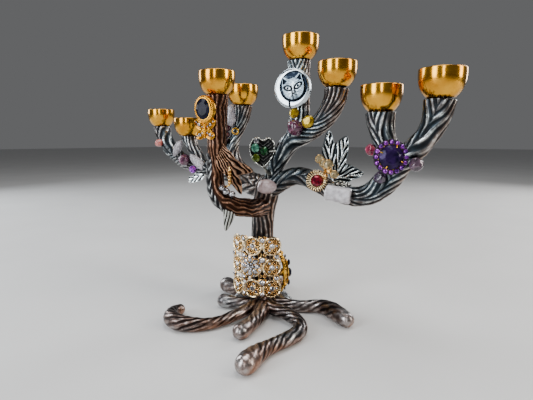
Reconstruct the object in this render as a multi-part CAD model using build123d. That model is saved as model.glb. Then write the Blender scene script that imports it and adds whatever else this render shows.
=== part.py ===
from build123d import *
import os
import math

os.makedirs("parts", exist_ok=True)

# Tree-of-life candelabrum: a cast-metal tree with spreading roots, nine candle cups on
# forked branches and a short front arm, dressed with glued jewellery.
# Working frame while modelling: the trunk's foot is at the origin, +X runs along the row
# of cups, -Y is the front, +Z is up.  Every solid is moved by (OX, OY) when it is written,
# so that the written frame has its origin at the centre of the whole foot print.

# ------------------------------------------------------------------ driving dimensions (mm)
OX, OY = 0.20, 22.95          # shift from the trunk's foot to the middle of the footprint

CUP_R = 12.4                  # candle cup, outer radius at the rim
CUP_H = 15.5                  # candle cup, height
CUP_BASE_R = 6.5              # candle cup, radius of the flat that sits on the branch
SOCKET_R = 5.25               # candle socket, radius (10 mm candles)
SOCKET_FLOOR = 2.0            # candle socket, floor above the underside of the cup
SOCKET_TOP = 9.2              # top of the parallel socket, where the drip bowl begins
RIM_IN_R = 11.5               # drip bowl radius at the rim

SCREW_R = 2.0                 # cup screw shank
SCREW_HEAD_R = 3.6            # cup screw head
SCREW_LEN = 9.0               # shank length below the cup
FIT = 0.05                    # radial clearance of screws, tenons and the trunk's spigot

SEAT_Z = 14.0                 # height of the joint between the hub and the trunk
SPIGOT_R = 6.0
SPIGOT_L = 8.0
BASE_SCREW_R = 2.5
TENON_R = 3.2
KNUCKLE = (4.6, 0.4, 92.5)    # middle of the crown that the branches are let into
KNUCKLE_R = 10.4

LEAF_T = 1.3                  # thickness of the stamped leaves

# direction that the main ornaments face (front right) and the horizontal across it
FACE = Vector(0.656, -0.755, 0.0)
ACROSS = Vector(0.755, 0.656, 0.0)
UP = Vector(0, 0, 1)

# cup number: (x, y, height of the underside)
CUPS = {
    1: (-129.5, 0.0, 142.6),
    2: (-89.3, 0.0, 133.3),
    3: (-5.6, -40.0, 160.0),
    4: (-28.2, 8.0, 157.4),
    5: (36.2, -2.0, 183.0),
    6: (65.2, -2.0, 163.0),
    7: (94.7, 0.0, 146.3),
    8: (129.1, 0.0, 152.0),
    9: (-54.4, 4.0, 166.5),
}

# centrelines: x, y, z and radius at each station
TRUNK = [(-0.2, 0, SEAT_Z, 10.6), (-0.15, 0, 20, 9.75), (-0.1, 0, 33.7, 8.98), (0, 0, 51.7, 8.83),
         (0.3, 0, 66.2, 8.76), (1.9, 0, 79.1, 8.99), (4.4, 0.2, 89.5, 9.57), (5.8, 0.2, 95.5, 8.8)]
RIGHT_LOWER = [(7.0, 0, 92.4, 7.64), (15.3, 0, 97.2, 7.46), (25.5, -1, 102.0, 6.75), (35.2, -2, 104.5, 6.51),
               (45.4, -3, 103.4, 6.62), (55.2, -4, 100.4, 6.46), (64.6, -4, 97.1, 6.33), (75.2, -4, 94.7, 6.43),
               (83.2, -3, 94.4, 6.51), (90.8, -2, 96.6, 7.01), (97.3, -1, 101.7, 7.62), (103.0, 0, 108.3, 7.8),
               (108.1, 0, 116.3, 7.55), (114.3, 0, 122.3, 7.2), (120.3, 0, 128.6, 6.77), (124.7, 0, 135.2, 6.94),
               (127.5, 0, 142.2, 7.78), (129.0, 0, 152.0, 8.8)]
RIGHT_LOWER_7 = [(106.4, 0, 110.0, 5.6), (104.2, 0, 114.6, 6.54), (101.4, 0, 120.3, 6.57), (98.6, 0, 127.3, 6.9),
                 (96.3, 0, 134.5, 7.69), (95.1, 0, 140.4, 8.53), (94.7, 0, 146.3, 9.11)]
RIGHT_UPPER = [(7.4, 0.2, 96.0, 6.0), (10.2, -0.2, 102.3, 6.03), (14.2, -1, 109.8, 6.08), (19.7, -2, 117.4, 6.55),
               (25.2, -2, 124.7, 7.02), (31.4, -2, 130.0, 7.3), (39.1, -2, 133.4, 7.11), (47.3, -2, 137.1, 6.96),
               (55.2, -2, 142.4, 7.01), (60.8, -2, 148.9, 7.14), (64.2, -2, 155.9, 7.5), (65.4, -2, 163.0, 8.0)]
RIGHT_UPPER_5 = [(28.0, -2, 126.6, 6.3), (32.8, -2, 132.2, 7.2), (35.3, -2, 139.4, 7.37), (36.3, -2, 148.1, 7.1),
                 (36.3, -2, 158.1, 6.99), (36.0, -2, 168.8, 7.03), (35.4, -2, 176.8, 7.41), (35.2, -2, 183.0, 8.1)]
LEFT_LOWER = [(3.0, 0.6, 91.6, 7.29), (-7.7, 2, 91.8, 7.26), (-19.5, 3, 94.4, 7.29), (-32.1, 3, 98.5, 7.04),
              (-44.2, 2, 102.9, 6.92), (-56.9, 1, 105.3, 6.9), (-66.2, 0, 106.0, 7.0), (-79.8, 0, 107.2, 6.82),
              (-94.0, 0, 110.0, 6.62), (-107.3, 0, 115.6, 6.57), (-117.9, 0, 122.5, 6.86), (-125.2, 0, 131.4, 7.6),
              (-129.3, 0, 142.6, 8.3)]
LEFT_LOWER_2 = [(-66.0, 0, 105.6, 5.6), (-74.1, 0, 112.1, 5.67), (-80.0, 0, 119.0, 5.54), (-85.3, 0, 126.0, 6.11),
                (-88.7, 0, 133.3, 7.3)]
LEFT_UPPER = [(1.2, 1.6, 96.6, 6.1), (-13.7, 5, 98.4, 6.1), (-23.5, 6, 101.9, 6.06), (-32.6, 6, 109.1, 5.82),
              (-38.6, 6, 118.8, 5.5), (-37.6, 7, 128.8, 4.7), (-33.4, 8, 138.2, 4.9), (-29.2, 8, 147.7, 6.5),
              (-28.0, 8, 157.4, 7.9)]
LEFT_UPPER_9 = [(-37.0, 6, 115.2, 4.6), (-41.2, 6, 120.4, 5.2), (-45.9, 5, 127.6, 5.23), (-50.5, 4, 137.1, 5.58),
                (-53.6, 4, 149.7, 6.43), (-54.4, 4, 166.5, 7.8)]
ARM = [(4.6, -5, 79.0, 7.3), (6.4, -16, 80.2, 7.07), (7.2, -26, 81.8, 6.92), (5.0, -34.4, 83.4, 6.77),
       (-1.0, -39.4, 86.6, 6.9), (-6.2, -40.8, 92.6, 6.9), (-8.6, -40.7, 100.4, 6.6), (-9.0, -40.2, 109.2, 6.51),
       (-8.0, -40, 119.3, 6.73), (-6.7, -40, 129.7, 7.02), (-6.3, -40, 139.9, 7.18), (-6.2, -40, 150.0, 7.42),
       (-6.0, -40, 160.0, 8.1)]

ROOTS = {
    "left_hook": [(4.4, -15, 5.3, 4.7), (9.0, -28.3, 5.6, 4.5), (8.3, -40.3, 5.2, 4.3), (6.0, -52.1, 4.5, 3.98),
                  (2.0, -62.0, 4.6, 4.4), (-5.0, -69.6, 5.1, 5.3), (-13.6, -73.6, 5.6, 5.79), (-23.4, -71.6, 5.4, 5.6),
                  (-30.0, -64.6, 4.7, 4.8), (-31.6, -58.0, 4.2, 4.2)],
    "front_toe": [(12, -13, 5.3, 4.8), (20.2, -25.0, 5.9, 5.2), (24.9, -35.8, 5.7, 5.1), (27.6, -47.0, 5.5, 5.37),
                  (29.2, -54.6, 5.6, 5.71)],
    "front_long": [(13, -9, 5.3, 4.8), (24.6, -14.6, 6.2, 5.0), (35.2, -14.6, 6.3, 5.0), (46.2, -17.2, 5.6, 4.9),
                   (54.8, -23.6, 5.0, 5.0), (58.2, -33.0, 4.9, 5.1), (57.6, -41.9, 4.8, 4.88), (56.1, -50.8, 4.7, 4.71),
                   (55.3, -59.7, 4.9, 5.0), (56.4, -69.0, 5.7, 6.0), (58.6, -78.6, 6.3, 6.7), (59.0, -80.8, 6.2, 6.5)],
    "right": [(10, -4, 5.3, 4.7), (20.5, -3.6, 6.2, 4.9), (28.6, 0.6, 5.5, 4.58), (35.4, 6.4, 4.7, 4.56),
              (42.0, 12.2, 4.8, 5.0), (50.0, 14.6, 5.3, 5.8), (59.0, 11.9, 5.8, 6.3), (67.6, 8.0, 5.8, 6.0),
              (72.6, 6.4, 5.4, 5.5)],
    "left_low": [(3, -11, 5.0, 4.5), (-3.2, -18.6, 4.9, 4.5), (-9.3, -22.8, 4.8, 4.8), (-16.4, -26.6, 5.4, 5.6)],
    "left_back": [(-2, -6, 5.0, 4.5), (-11.5, -5.8, 4.9, 4.4), (-22.5, -3.7, 4.9, 5.0), (-38.2, -2.6, 6.4, 6.6)],
    "back": [(-4, 8, 6.2, 5.0), (-9.4, 18.5, 5.6, 4.8), (-14.0, 27.5, 4.9, 4.8), (-16.4, 36.0, 5.1, 5.3)],
}


# ------------------------------------------------------------------ small geometry helpers
def sub4(a, b):
    return [a[i] - b[i] for i in range(4)]


def resample(st, step):
    """Smooth curve through the stations (cubic Hermite on chord length)."""
    d = [0.0]
    for a, b in zip(st, st[1:]):
        d.append(d[-1] + math.dist(a[:3], b[:3]))
    tang = []
    for i in range(len(st)):
        lo, hi = max(i - 1, 0), min(i + 1, len(st) - 1)
        w = d[hi] - d[lo]
        tang.append([(st[hi][k] - st[lo][k]) / w for k in range(4)])
    n = max(2, int(round(d[-1] / step)) + 1)
    out = []
    for j in range(n):
        s = d[-1] * j / (n - 1)
        i = 0
        while i < len(st) - 2 and s > d[i + 1]:
            i += 1
        h = d[i + 1] - d[i]
        t = (s - d[i]) / h
        a, b, ta, tb = st[i], st[i + 1], tang[i], tang[i + 1]
        h00, h10 = 2 * t**3 - 3 * t**2 + 1, t**3 - 2 * t**2 + t
        h01, h11 = -2 * t**3 + 3 * t**2, t**3 - t**2
        out.append(tuple(h00 * a[k] + h10 * h * ta[k] + h01 * b[k] + h11 * h * tb[k] for k in range(4)))
    return out


def tube(st, step=9.0, end_up=False, start_up=False, round_end=False, first=Vector(0, 1, 0)):
    """One smooth limb: circles of the stations' radii, lofted along the centreline."""
    p = resample(st, step)
    pos = [Vector(*q[:3]) for q in p]
    dirs = []
    for i in range(len(p)):
        dirs.append((pos[min(i + 1, len(p) - 1)] - pos[max(i - 1, 0)]).normalized())
    if end_up:
        dirs[-1] = Vector(0, 0, 1)
    if start_up:
        dirs[0] = Vector(0, 0, 1)
    sect = [(pos[i], dirs[i], p[i][3]) for i in range(len(p))]
    if round_end:
        c, t, r = sect[-1]
        for k in (35, 62):
            a = math.radians(k)
            sect.append((c + t * (r * math.sin(a)), t, r * math.cos(a)))
    x = first
    wires = []
    for c, t, r in sect:
        x = (x - t * x.dot(t)).normalized()
        wires.append(Wire.make_circle(r, Plane(origin=c, x_dir=x, z_dir=t)))
    return Solid.make_loft(wires, False)


def rod(a, b, r):
    """Cylinder of radius r from point a to point b."""
    a, b = Vector(*a), Vector(*b)
    d = b - a
    return Solid.make_cylinder(r, d.length, Plane(origin=a, z_dir=d.normalized()))


def facing(p, n, up=UP):
    """Plane at p whose normal is n and whose local Y is as near to up as it can be."""
    n = Vector(*n).normalized() if isinstance(n, tuple) else n.normalized()
    xd = up.cross(n).normalized()
    return Plane(origin=Vector(*p) if isinstance(p, tuple) else p, x_dir=xd, z_dir=n)


def lathe(profile, plane):
    """Solid of revolution of an (r, z) outline about the plane's normal."""
    pts = [(r, 0, z) for r, z in profile]
    face = Face(Wire.make_polygon([Vector(*q) for q in pts], close=True))
    s = Solid.revolve(face, 360, Axis((0, 0, 0), (0, 0, 1)))
    return plane.location * s


def ball(p, r):
    return Solid.make_sphere(r, Plane(origin=Vector(*p)), -90, 90, 360)


def plate(points, plane, t, below=0.0):
    """Flat outline of local (u, v) points, thickness t above the plane and `below` under it."""
    w = Wire.make_polygon([Vector(u, v, -below) for u, v in points], close=True)
    s = Solid.extrude(Face(w), Vector(0, 0, t + below))
    return plane.location * s


def oval_points(a, b, n=28, cx=0.0, cy=0.0, turn=0.0):
    out = []
    for i in range(n):
        q = 2 * math.pi * i / n
        u, v = a * math.cos(q), b * math.sin(q)
        out.append((cx + u * math.cos(turn) - v * math.sin(turn), cy + u * math.sin(turn) + v * math.cos(turn)))
    return out


def leaf_points(l, w, n=9, back=0.0):
    """Pointed oval from the origin along +u, widest a little below the middle."""
    up_, dn = [], []
    for i in range(1, n):
        t = i / n
        h = w / 2 * math.sin(math.pi * t ** 0.85)
        up_.append((l * t, h + back * t * (1 - t)))
        dn.append((l * t, -h + back * t * (1 - t)))
    return [(0, 0)] + dn + [(l, 0)] + up_[::-1]


def gem(plane, r, crown=0.45, depth=0.8, table=0.6):
    """Round brilliant outline: table, girdle and a blunt pavilion, on the plane's normal."""
    return lathe([(0, -depth * r), (0.35 * r, -depth * r), (r, -0.1 * r), (r, 0.05 * r), (table * r, crown * r),
                  (0, crown * r)], plane)


def solids(s):
    if isinstance(s, (list, tuple, ShapeList)):
        out = []
        for q in s:
            out += solids(q)
        return out
    return list(s.solids())


def largest(s):
    return max(solids(s), key=lambda q: q.volume)


def less(s, *tools):
    """s with each tool cut away; the largest solid that is left."""
    for t in tools:
        for one in solids(t):
            r = s.cut(one) if not isinstance(s, list) else s
            s = largest(r)
    return s


def join(a, *bs):
    for b in bs:
        a = largest(a.fuse(b))
    return a


NODES = {}


def put(name, shape):
    NODES[name] = [q for q in solids(shape)]


# ------------------------------------------------------------------ the casting: foot
hub = lathe([(0, 1.6), (22.4, 1.6), (23.6, 3.2), (21.0, 6.3), (18.6, 7.2), (14.2, 8.6), (11.8, 11.0), (10.9, SEAT_Z),
             (0, SEAT_Z)], Plane(origin=(-0.2, 0, 0)))
foot = hub
for name, st in ROOTS.items():
    foot = join(foot, tube(st, 5.0, round_end=True, first=Vector(0, 0, 1)))
foot = less(foot, Solid.make_box(300, 300, 20, Plane(origin=(-150, -150, -20))))
foot = less(foot,
            Solid.make_cylinder(SPIGOT_R + FIT, SPIGOT_L + 0.3, Plane(origin=(-0.2, 0, SEAT_Z - SPIGOT_L - 0.3))),
            Solid.make_cylinder(BASE_SCREW_R + 0.15, 20, Plane(origin=(-0.2, 0, 0))),
            Solid.make_cylinder(5.2, 2.6, Plane(origin=(-0.2, 0, 1.0))))

# ------------------------------------------------------------------ trunk and branches
trunk = join(tube(TRUNK, 9.0, start_up=True, round_end=True), ball(KNUCKLE, KNUCKLE_R))
trunk = join(trunk, Solid.make_cylinder(SPIGOT_R, SPIGOT_L + 1.0, Plane(origin=(-0.2, 0, SEAT_Z - SPIGOT_L))))
trunk_full = trunk

right_lower = join(tube(RIGHT_LOWER, 8.5, end_up=True), tube(RIGHT_LOWER_7, 8.0, end_up=True))
right_upper = join(tube(RIGHT_UPPER, 8.5, end_up=True), tube(RIGHT_UPPER_5, 8.0, end_up=True))
left_lower = join(tube(LEFT_LOWER, 8.5, end_up=True), tube(LEFT_LOWER_2, 8.0, end_up=True))
left_upper = join(tube(LEFT_UPPER, 8.5, end_up=True), tube(LEFT_UPPER_9, 8.0, end_up=True))
front_arm = tube(ARM, 7.0, end_up=True, first=Vector(0, 0, 1))

right_lower = less(right_lower, trunk_full)
left_lower = less(left_lower, trunk_full)
right_upper = less(right_upper, trunk_full, right_lower)
left_upper = less(left_upper, trunk_full, left_lower)
left_upper = less(left_upper, right_upper)
front_arm = less(front_arm, trunk_full)


def tenon(a, direction, reach_in, reach_out):
    """Peg along direction through the joint at a, and the hole that takes it."""
    d = Vector(*direction).normalized()
    a = Vector(*a)
    peg = rod(a - d * reach_in, a + d * reach_out, TENON_R)
    hole = rod(a - d * (reach_in + 0.3), a + d * (reach_out + 0.3), TENON_R + FIT)
    return peg, hole


def on_knuckle(direction):
    d = Vector(*direction).normalized()
    return tuple(Vector(*KNUCKLE) + d * KNUCKLE_R), direction


joints = {}
for key, d in (("rl", (0.90, -0.05, 0.36)), ("ru", (0.36, -0.08, 0.93)), ("ll", (-1.0, 0.12, -0.10)),
               ("lu", (-0.62, 0.36, 0.62))):
    p, dd = on_knuckle(d)
    joints[key] = tenon(p, dd, 4.6, 3.0)
joints["arm"] = tenon((4.2, -8.8, 79.4), (0.12, -0.99, 0.08), 5.0, 3.0)

# the upper limbs' pegs may run into the lower limb only inside the crown, so each hole is
# cut from every neighbour that it could meet
for key in joints:
    trunk = less(trunk, joints[key][1])
right_lower = join(right_lower, joints["rl"][0])
left_lower = join(left_lower, joints["ll"][0])
right_upper = join(right_upper, less(joints["ru"][0], right_lower))
left_upper = join(left_upper, less(joints["lu"][0], left_lower, right_upper))
front_arm = join(front_arm, joints["arm"][0])
trunk = less(trunk, Solid.make_cylinder(BASE_SCREW_R + 0.05, 8.0, Plane(origin=(-0.2, 0, SEAT_Z - SPIGOT_L - 1))))

base_screw = join(Solid.make_cylinder(4.8, 2.2, Plane(origin=(-0.2, 0, 1.35))),
                  Solid.make_cylinder(BASE_SCREW_R, 8.6, Plane(origin=(-0.2, 0, 3.5))))
base_screw = less(base_screw, Solid.make_box(7.0, 1.0, 0.9, Plane(origin=(-3.7, -0.5, 1.3))))

limb_of = {1: "ll", 2: "ll", 3: "arm", 4: "lu", 5: "ru", 6: "ru", 7: "rl", 8: "rl", 9: "lu"}
limb = {"ll": left_lower, "lu": left_upper, "ru": right_upper, "rl": right_lower, "arm": front_arm}

# ------------------------------------------------------------------ candle cups and their screws
CUP_OUT = [(CUP_BASE_R, 0), (7.9, 0.9), (9.3, 2.3), (10.6, 4.2), (11.6, 6.6), (12.15, 9.2), (CUP_R, 11.8),
           (CUP_R, CUP_H - 0.3), (12.1, CUP_H)]
CUP_IN = [(RIM_IN_R + 0.3, CUP_H), (RIM_IN_R, CUP_H - 0.4), (RIM_IN_R - 0.05, 12.4), (10.7, 10.6), (9.0, 9.6),
          (SOCKET_R + 0.4, SOCKET_TOP), (SOCKET_R, SOCKET_TOP - 0.4), (SOCKET_R, SOCKET_FLOOR),
          (SCREW_HEAD_R + FIT, SOCKET_FLOOR), (SCREW_R + FIT, SOCKET_FLOOR - (SCREW_HEAD_R - SCREW_R)),
          (SCREW_R + FIT, 0)]
HEAD = [(0, SOCKET_FLOOR - 0.06), (SCREW_HEAD_R - 0.03, SOCKET_FLOOR - 0.06),
        (SCREW_R, SOCKET_FLOOR - 0.03 - (SCREW_HEAD_R - SCREW_R)), (SCREW_R, -SCREW_LEN + 0.8), (SCREW_R - 0.6, -SCREW_LEN),
        (0, -SCREW_LEN)]
screws = []
for n, (x, y, z) in CUPS.items():
    pl = Plane(origin=(x, y, z))
    put("cup_%d" % n, lathe(CUP_OUT + CUP_IN, pl))
    s = lathe(HEAD, pl)
    s = less(s, Solid.make_box(6.0, 0.8, 0.7, Plane(origin=(x - 3.0, y - 0.4, z + SOCKET_FLOOR - 0.7))))
    screws.append(s)
    k = limb_of[n]
    limb[k] = less(limb[k], Solid.make_cylinder(SCREW_R + FIT, SCREW_LEN + 0.6, Plane(origin=(x, y, z - SCREW_LEN - 0.4))))
put("cup_screws", screws)
put("root_base", foot)
put("base_screw", base_screw)
put("trunk", trunk)
put("branch_right_lower", limb["rl"])
put("branch_right_upper", limb["ru"])
put("branch_left_lower", limb["ll"])
put("branch_left_upper", limb["lu"])
put("front_arm", limb["arm"])
RL, RU, LL, LU, AR, TR = limb["rl"], limb["ru"], limb["ll"], limb["lu"], limb["arm"], trunk

# ------------------------------------------------------------------ jewellery: right upper branch
# domed medallion with a generic cat's head in relief
MED_N = (0.22, -0.97, 0.0)
med = facing((36.5, -11.3, 163.7), MED_N)
cat = lathe([(0, -2.2), (11.6, -2.2), (12.8, -1.2), (12.9, -0.2), (11.8, 0.8), (9.0, 1.3), (0, 1.4)], med)
cat = join(cat, plate(oval_points(9.3, 9.9, 40, cx=1.5, cy=1.0), med, 1.9),
           plate(oval_points(6.6, 6.3, 32, cx=1.5, cy=-1.2), med, 2.6),
           plate([(-4.9, 1.0), (0.6, 4.2), (-4.5, 8.2)], med, 2.6), plate([(7.9, 1.0), (7.5, 8.2), (2.4, 4.2)], med, 2.6),
           rod((36.6, -11.6, 163.7), (36.2, -5.0, 163.7), 5.4))
cat = less(cat, RU)
put("cat_medallion", cat)

y1 = gem(facing((37.0, -9.4, 147.6), (0.35, -0.93, 0.05)), 3.4, depth=0.7)
y2 = gem(facing((48.5, -9.6, 141.6), (0.2, -0.95, 0.25)), 4.3, depth=0.6)
y1, y2 = less(y1, RU, cat), less(y2, RU, cat)
put("yellow_crystals", [y1, y2])
put("mauve_bead_right", less(ball((39.7, -11.2, 137.8), 5.6), RU, y1, y2))

# heart-shaped silver leaf on a short stalk, set with four green stones
hl = facing((8.6, -9.6, 121.3), (0.45, -0.89, 0.0))
HEART = [(1.2, -11.2), (-3.5, -9.6), (-7.6, -5.6), (-9.6, 0.0), (-9.2, 5.6), (-6.4, 9.6), (-2.8, 10.4), (0.6, 8.4),
         (4.2, 10.2), (8.0, 8.2), (9.6, 3.6), (8.8, -1.6), (6.0, -6.6)]
leaf = plate(HEART, hl, 0.9, below=0.9)
leaf = join(leaf, rod((9.4, -9.3, 111.0), (12.4, -6.0, 104.2), 1.5), rod((12.4, -6.0, 104.4), (13.4, -2.5, 107.0), 1.5),
            rod((14.6, -8.0, 121.5), (20.5, -5.0, 120.5), 1.3))
leaf = less(leaf, RU, TR, RL)
GREEN = [(-5.2, 2.6, 3.2), (-4.6, -4.6, 3.1), (1.9, 0.4, 3.1), (-4.4, 7.6, 2.0)]
greens = []
for u, v, r in GREEN:
    q = hl.from_local_coords(Vector(u, v, 1.5))
    greens.append(less(gem(facing(q, (0.45, -0.89, 0.0)), r, crown=0.5, depth=0.7), leaf))
put("heart_leaf", leaf)
put("green_stones", greens)

# ------------------------------------------------------------------ jewellery: crown and right lower branch
nug = plate([(-7.6, -1.5), (-6.4, -4.6), (-1.5, -5.6), (4.5, -4.2), (7.6, -0.6), (6.8, 3.4), (2.6, 5.4), (-3.4, 4.6),
             (-6.6, 2.0)], facing((13.2, -9.7, 96.2), (0.45, -0.89, 0.0)), 2.6, below=4.2)
put("pink_quartz", less(nug, TR, RL, RU, LL, LU))

rp = facing((58.0, -11.9, 103.3), (0.60, -0.78, 0.14))
dish = lathe([(0, -2.6), (4.2, -2.6), (6.4, -0.8), (7.0, 0.4), (6.5, 1.2), (4.1, 0.7), (3.9, 0.4), (3.9, -0.8), (0, -0.8)], rp)
dish = join(dish, rod((57.8, -11.0, 103.0), (57.0, -5.0, 101.5), 3.0))
ruby = less(lathe([(0, -0.8), (3.85, -0.8), (3.85, 0.5), (2.6, 1.9), (0, 2.3)], rp), RL)
dish = less(dish, RL, ruby)
put("ruby_flower", dish)
put("ruby_stone", ruby)

qz = rod((66.6, -14.9, 96.9), (82.4, -9.6, 94.9), 5.1)
put("quartz_cylinder", less(qz, RL))

# three stamped leaves standing off the top of the branch, on one stalk
sp = facing((64.2, -1.1, 108.8), (0.62, -0.78, 0.0))


def leaf_at(plane, u0, v0, u1, v1, w, t=LEAF_T, lift=0.0):
    l = math.hypot(u1 - u0, v1 - v0)
    a = math.atan2(v1 - v0, u1 - u0)
    pts = [(u0 + x * math.cos(a) - y * math.sin(a), v0 + x * math.sin(a) + y * math.cos(a)) for x, y in leaf_points(l, w)]
    return plate(pts, plane, t / 2 + lift, below=t / 2 - lift)


SPRAY = [(-1.0, -8.6), (6.0, -8.8), (12.2, -5.3), (16.8, -3.6), (19.5, -0.6), (14.4, 2.8), (10.5, 4.8), (7.8, 6.1), (8.8, 11.0),
         (9.2, 16.2), (9.0, 21.0), (7.8, 23.4), (5.2, 22.6), (2.4, 20.4), (-0.2, 19.1), (-1.2, 22.6), (-2.6, 26.2), (-4.4, 27.2),
         (-6.1, 23.8), (-7.4, 18.0), (-8.4, 12.5), (-6.2, 7.0), (-4.0, 1.0), (-2.6, -4.0)]
spray = join(plate(SPRAY, sp, 0.6, below=0.6), rod((64.4, -1.4, 107.0), (65.0, -3.4, 101.0), 2.0))
spray = less(spray, RL, RU)
put("leaf_spray", spray)
dl = facing((73.6, -7.4, 100.6), (0.60, -0.72, 0.35))
dark = less(leaf_at(dl, -7.2, 1.6, 6.6, 0.6, 5.4, t=1.6), RL, qz, spray, dish)
put("dark_leaf", dark)

CH = [((57.6, -8.6, 117.4), 2.5), ((60.7, -8.6, 114.6), 2.3), ((64.6, -8.9, 114.0), 2.9), ((69.6, -9.4, 108.0), 2.3)]
champ = [less(gem(facing(p, (0.62, -0.78, 0.1)), r, depth=0.75), RL, spray, dish) for p, r in CH]
put("champagne_crystals", champ)
twigs = rod((60.8, -6.0, 103.8), (60.6, -6.6, 110.6), 1.1)
twigs = join(twigs, rod((60.6, -6.6, 110.2), (57.2, -6.6, 117.2), 0.9), rod((60.6, -6.6, 110.0), (64.4, -7.0, 113.6), 0.9),
             rod((60.6, -6.6, 109.6), (69.4, -7.6, 107.8), 0.9), rod((60.6, -6.6, 110.2), (60.9, -6.8, 114.6), 0.9),
             ball((65.6, -9.0, 109.6), 1.9), rod((65.6, -9.0, 109.4), (64.4, -7.2, 108.8), 0.8), ball((62.9, -9.2, 106.6), 1.6))
twigs = less(twigs, RL, spray, dish, *champ)
put("gold_sprigs", twigs)

# violet flower brooch with a large dark stone in a ring of sixteen small ones
vp = facing((107.6, -11.4, 120.1), (0.60, -0.79, 0.05))
vb = lathe([(0, -3.2), (7.4, -3.2), (9.8, -1.4), (10.2, 0.0), (9.6, 0.6), (7.2, 0.6), (6.9, 0.6), (6.9, -1.6), (0, -1.6)], vp)
vb = join(vb, rod((107.2, -10.0, 119.6), (106.6, -3.0, 117.0), 4.5))
ring = []
for i in range(16):
    a = 2 * math.pi * i / 16
    q = vp.from_local_coords(Vector(8.45 * math.cos(a), 8.45 * math.sin(a), 0.0))
    g = lathe([(0, -0.1), (1.25, -0.1), (1.25, 0.8), (0.7, 1.7), (0, 1.7)], facing(q, (0.60, -0.79, 0.05)))
    ring.append(g)
    vb = less(vb, g)
for i in range(4):
    a = math.pi / 4 + math.pi / 2 * i
    p0 = vp.from_local_coords(Vector(7.15 * math.cos(a), 7.15 * math.sin(a), 0.3))
    p1 = vp.from_local_coords(Vector(7.15 * math.cos(a), 7.15 * math.sin(a), 2.0))
    vb = join(vb, rod(p0, p1, 0.45))
vstone = less(lathe([(0, -1.6), (6.85, -1.6), (6.85, 0.2), (6.5, 0.9), (4.4, 2.7), (0, 3.0)], vp), RL)
vb = less(vb, RL, vstone)
ring = [less(g, vstone, RL, vb) for g in ring]
put("violet_brooch", vb)
put("violet_center_stone", vstone)
put("violet_ring_stones", ring)
put("rose_bead", less(ball((92.4, -6.4, 123.9), 3.6), RL, vb, *ring))
put("smoky_bead", less(ball((119.8, -5.9, 116.2), 4.0), RL, vb, *ring))
plum = less(ball((100.2, -9.0, 107.8), 3.8), RL, vb, *ring)
put("plum_bead", plum)

# ------------------------------------------------------------------ jewellery: front arm
op = facing((-6.5, -50.6, 150.2), (0.27, -0.96, -0.05))
bez = plate(oval_points(7.4, 8.9, 40), op, 2.4, below=2.2)
stone_o = plate(oval_points(5.6, 7.1, 32), op, 3.6, below=0.2)
bez = join(bez, rod((-6.5, -50.2, 150.2), (-6.4, -42.0, 150.2), 5.0))
put("onyx_bezel", less(bez, AR, stone_o, NODES["cup_3"]))
put("onyx_stone", stone_o)

bp = facing((-9.4, -48.2, 136.4), (0.22, -0.97, -0.02))
wings = plate(oval_points(5.0, 2.9, cx=-4.4, cy=3.6, turn=2.5), bp, 0.8, below=0.8)
for cx, cy, a, b, tn in ((4.4, 3.6, 5.0, 2.9, 0.64), (-3.9, -3.2, 3.9, 2.9, 0.4), (3.9, -3.2, 3.9, 2.9, -0.4)):
    wings = join(wings, plate(oval_points(a, b, cx=cx, cy=cy, turn=tn), bp, 0.8, below=0.8))
wings = join(wings, plate(oval_points(1.5, 6.6), bp, 1.3, below=1.0), rod((-9.4, -48.0, 136.4), (-6.9, -42.0, 136.4), 2.0))
wings = less(wings, AR, bez)
bstones = []
for u, v, r in ((-4.6, 3.8, 1.3), (4.6, 3.8, 1.3), (-4.1, -3.2, 1.2), (4.1, -3.2, 1.2)):
    q = bp.from_local_coords(Vector(u, v, 0.8))
    bstones.append(less(gem(facing(q, (0.22, -0.97, -0.02)), r, crown=0.6, depth=0.2), wings))
put("butterfly", wings)
put("butterfly_stones", bstones)

# two-lobed veined leaf that springs from the arm into the crook, and a drop leaf below it
lp = facing((0.0, -40.6, 116.0), (0.656, -0.755, 0.0))
ARMLEAF = [(-5.5, 17.0), (-0.8, 12.6), (2.0, 8.6), (5.5, 5.0), (9.8, -0.4), (16.9, -4.0), (20.6, -7.8), (15.8, -9.6), (10.8, -10.6),
           (12.4, -15.0), (12.2, -24.4), (6.4, -18.0), (1.4, -10.4), (-2.4, -7.2), (-6.5, -4.0)]
al = less(plate(ARMLEAF, lp, 1.1, below=1.1), AR)
put("arm_leaf", al)
dp = facing((2.6, -41.2, 80.6), (0.656, -0.755, 0.0))
drop = plate([(-1.6, 4.8), (-1.8, -4.0), (-1.6, -11.6), (0.0, -14.0), (3.2, -9.6), (6.0, -3.6), (6.9, 2.0), (6.8, 4.8)], dp, 1.2, below=1.2)
put("drop_leaf", less(drop, AR))

beads = []
for i in range(5):
    beads.append(less(ball((4.6, -39.2, 109.2 - 2.15 * i), 1.08), al, AR))
wire = rod((4.6, -39.2, 98.8), (4.6, -39.2, 111.4), 0.45)
bead_stack = beads[0]
for b in beads[1:]:
    bead_stack = bead_stack.fuse(b)
bead_stack = largest(bead_stack.fuse(wire))
# a short bracket ties the stack's wire to the arm
bead_stack = join(bead_stack, rod((4.6, -39.2, 99.2), (-4.0, -40.4, 97.2), 0.8))
bead_stack = less(bead_stack, al, AR)
put("gold_bead_stack", bead_stack)
CC = [((2.2, -40.6, 94.4), 2.9), ((6.2, -38.4, 92.4), 2.5), ((0.2, -42.6, 97.0), 2.2)]
clear = []
for p, r in CC:
    g = less(ball(p, r), AR, al, bead_stack, *clear)
    clear.append(g)
put("clear_crystals", clear)

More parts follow.
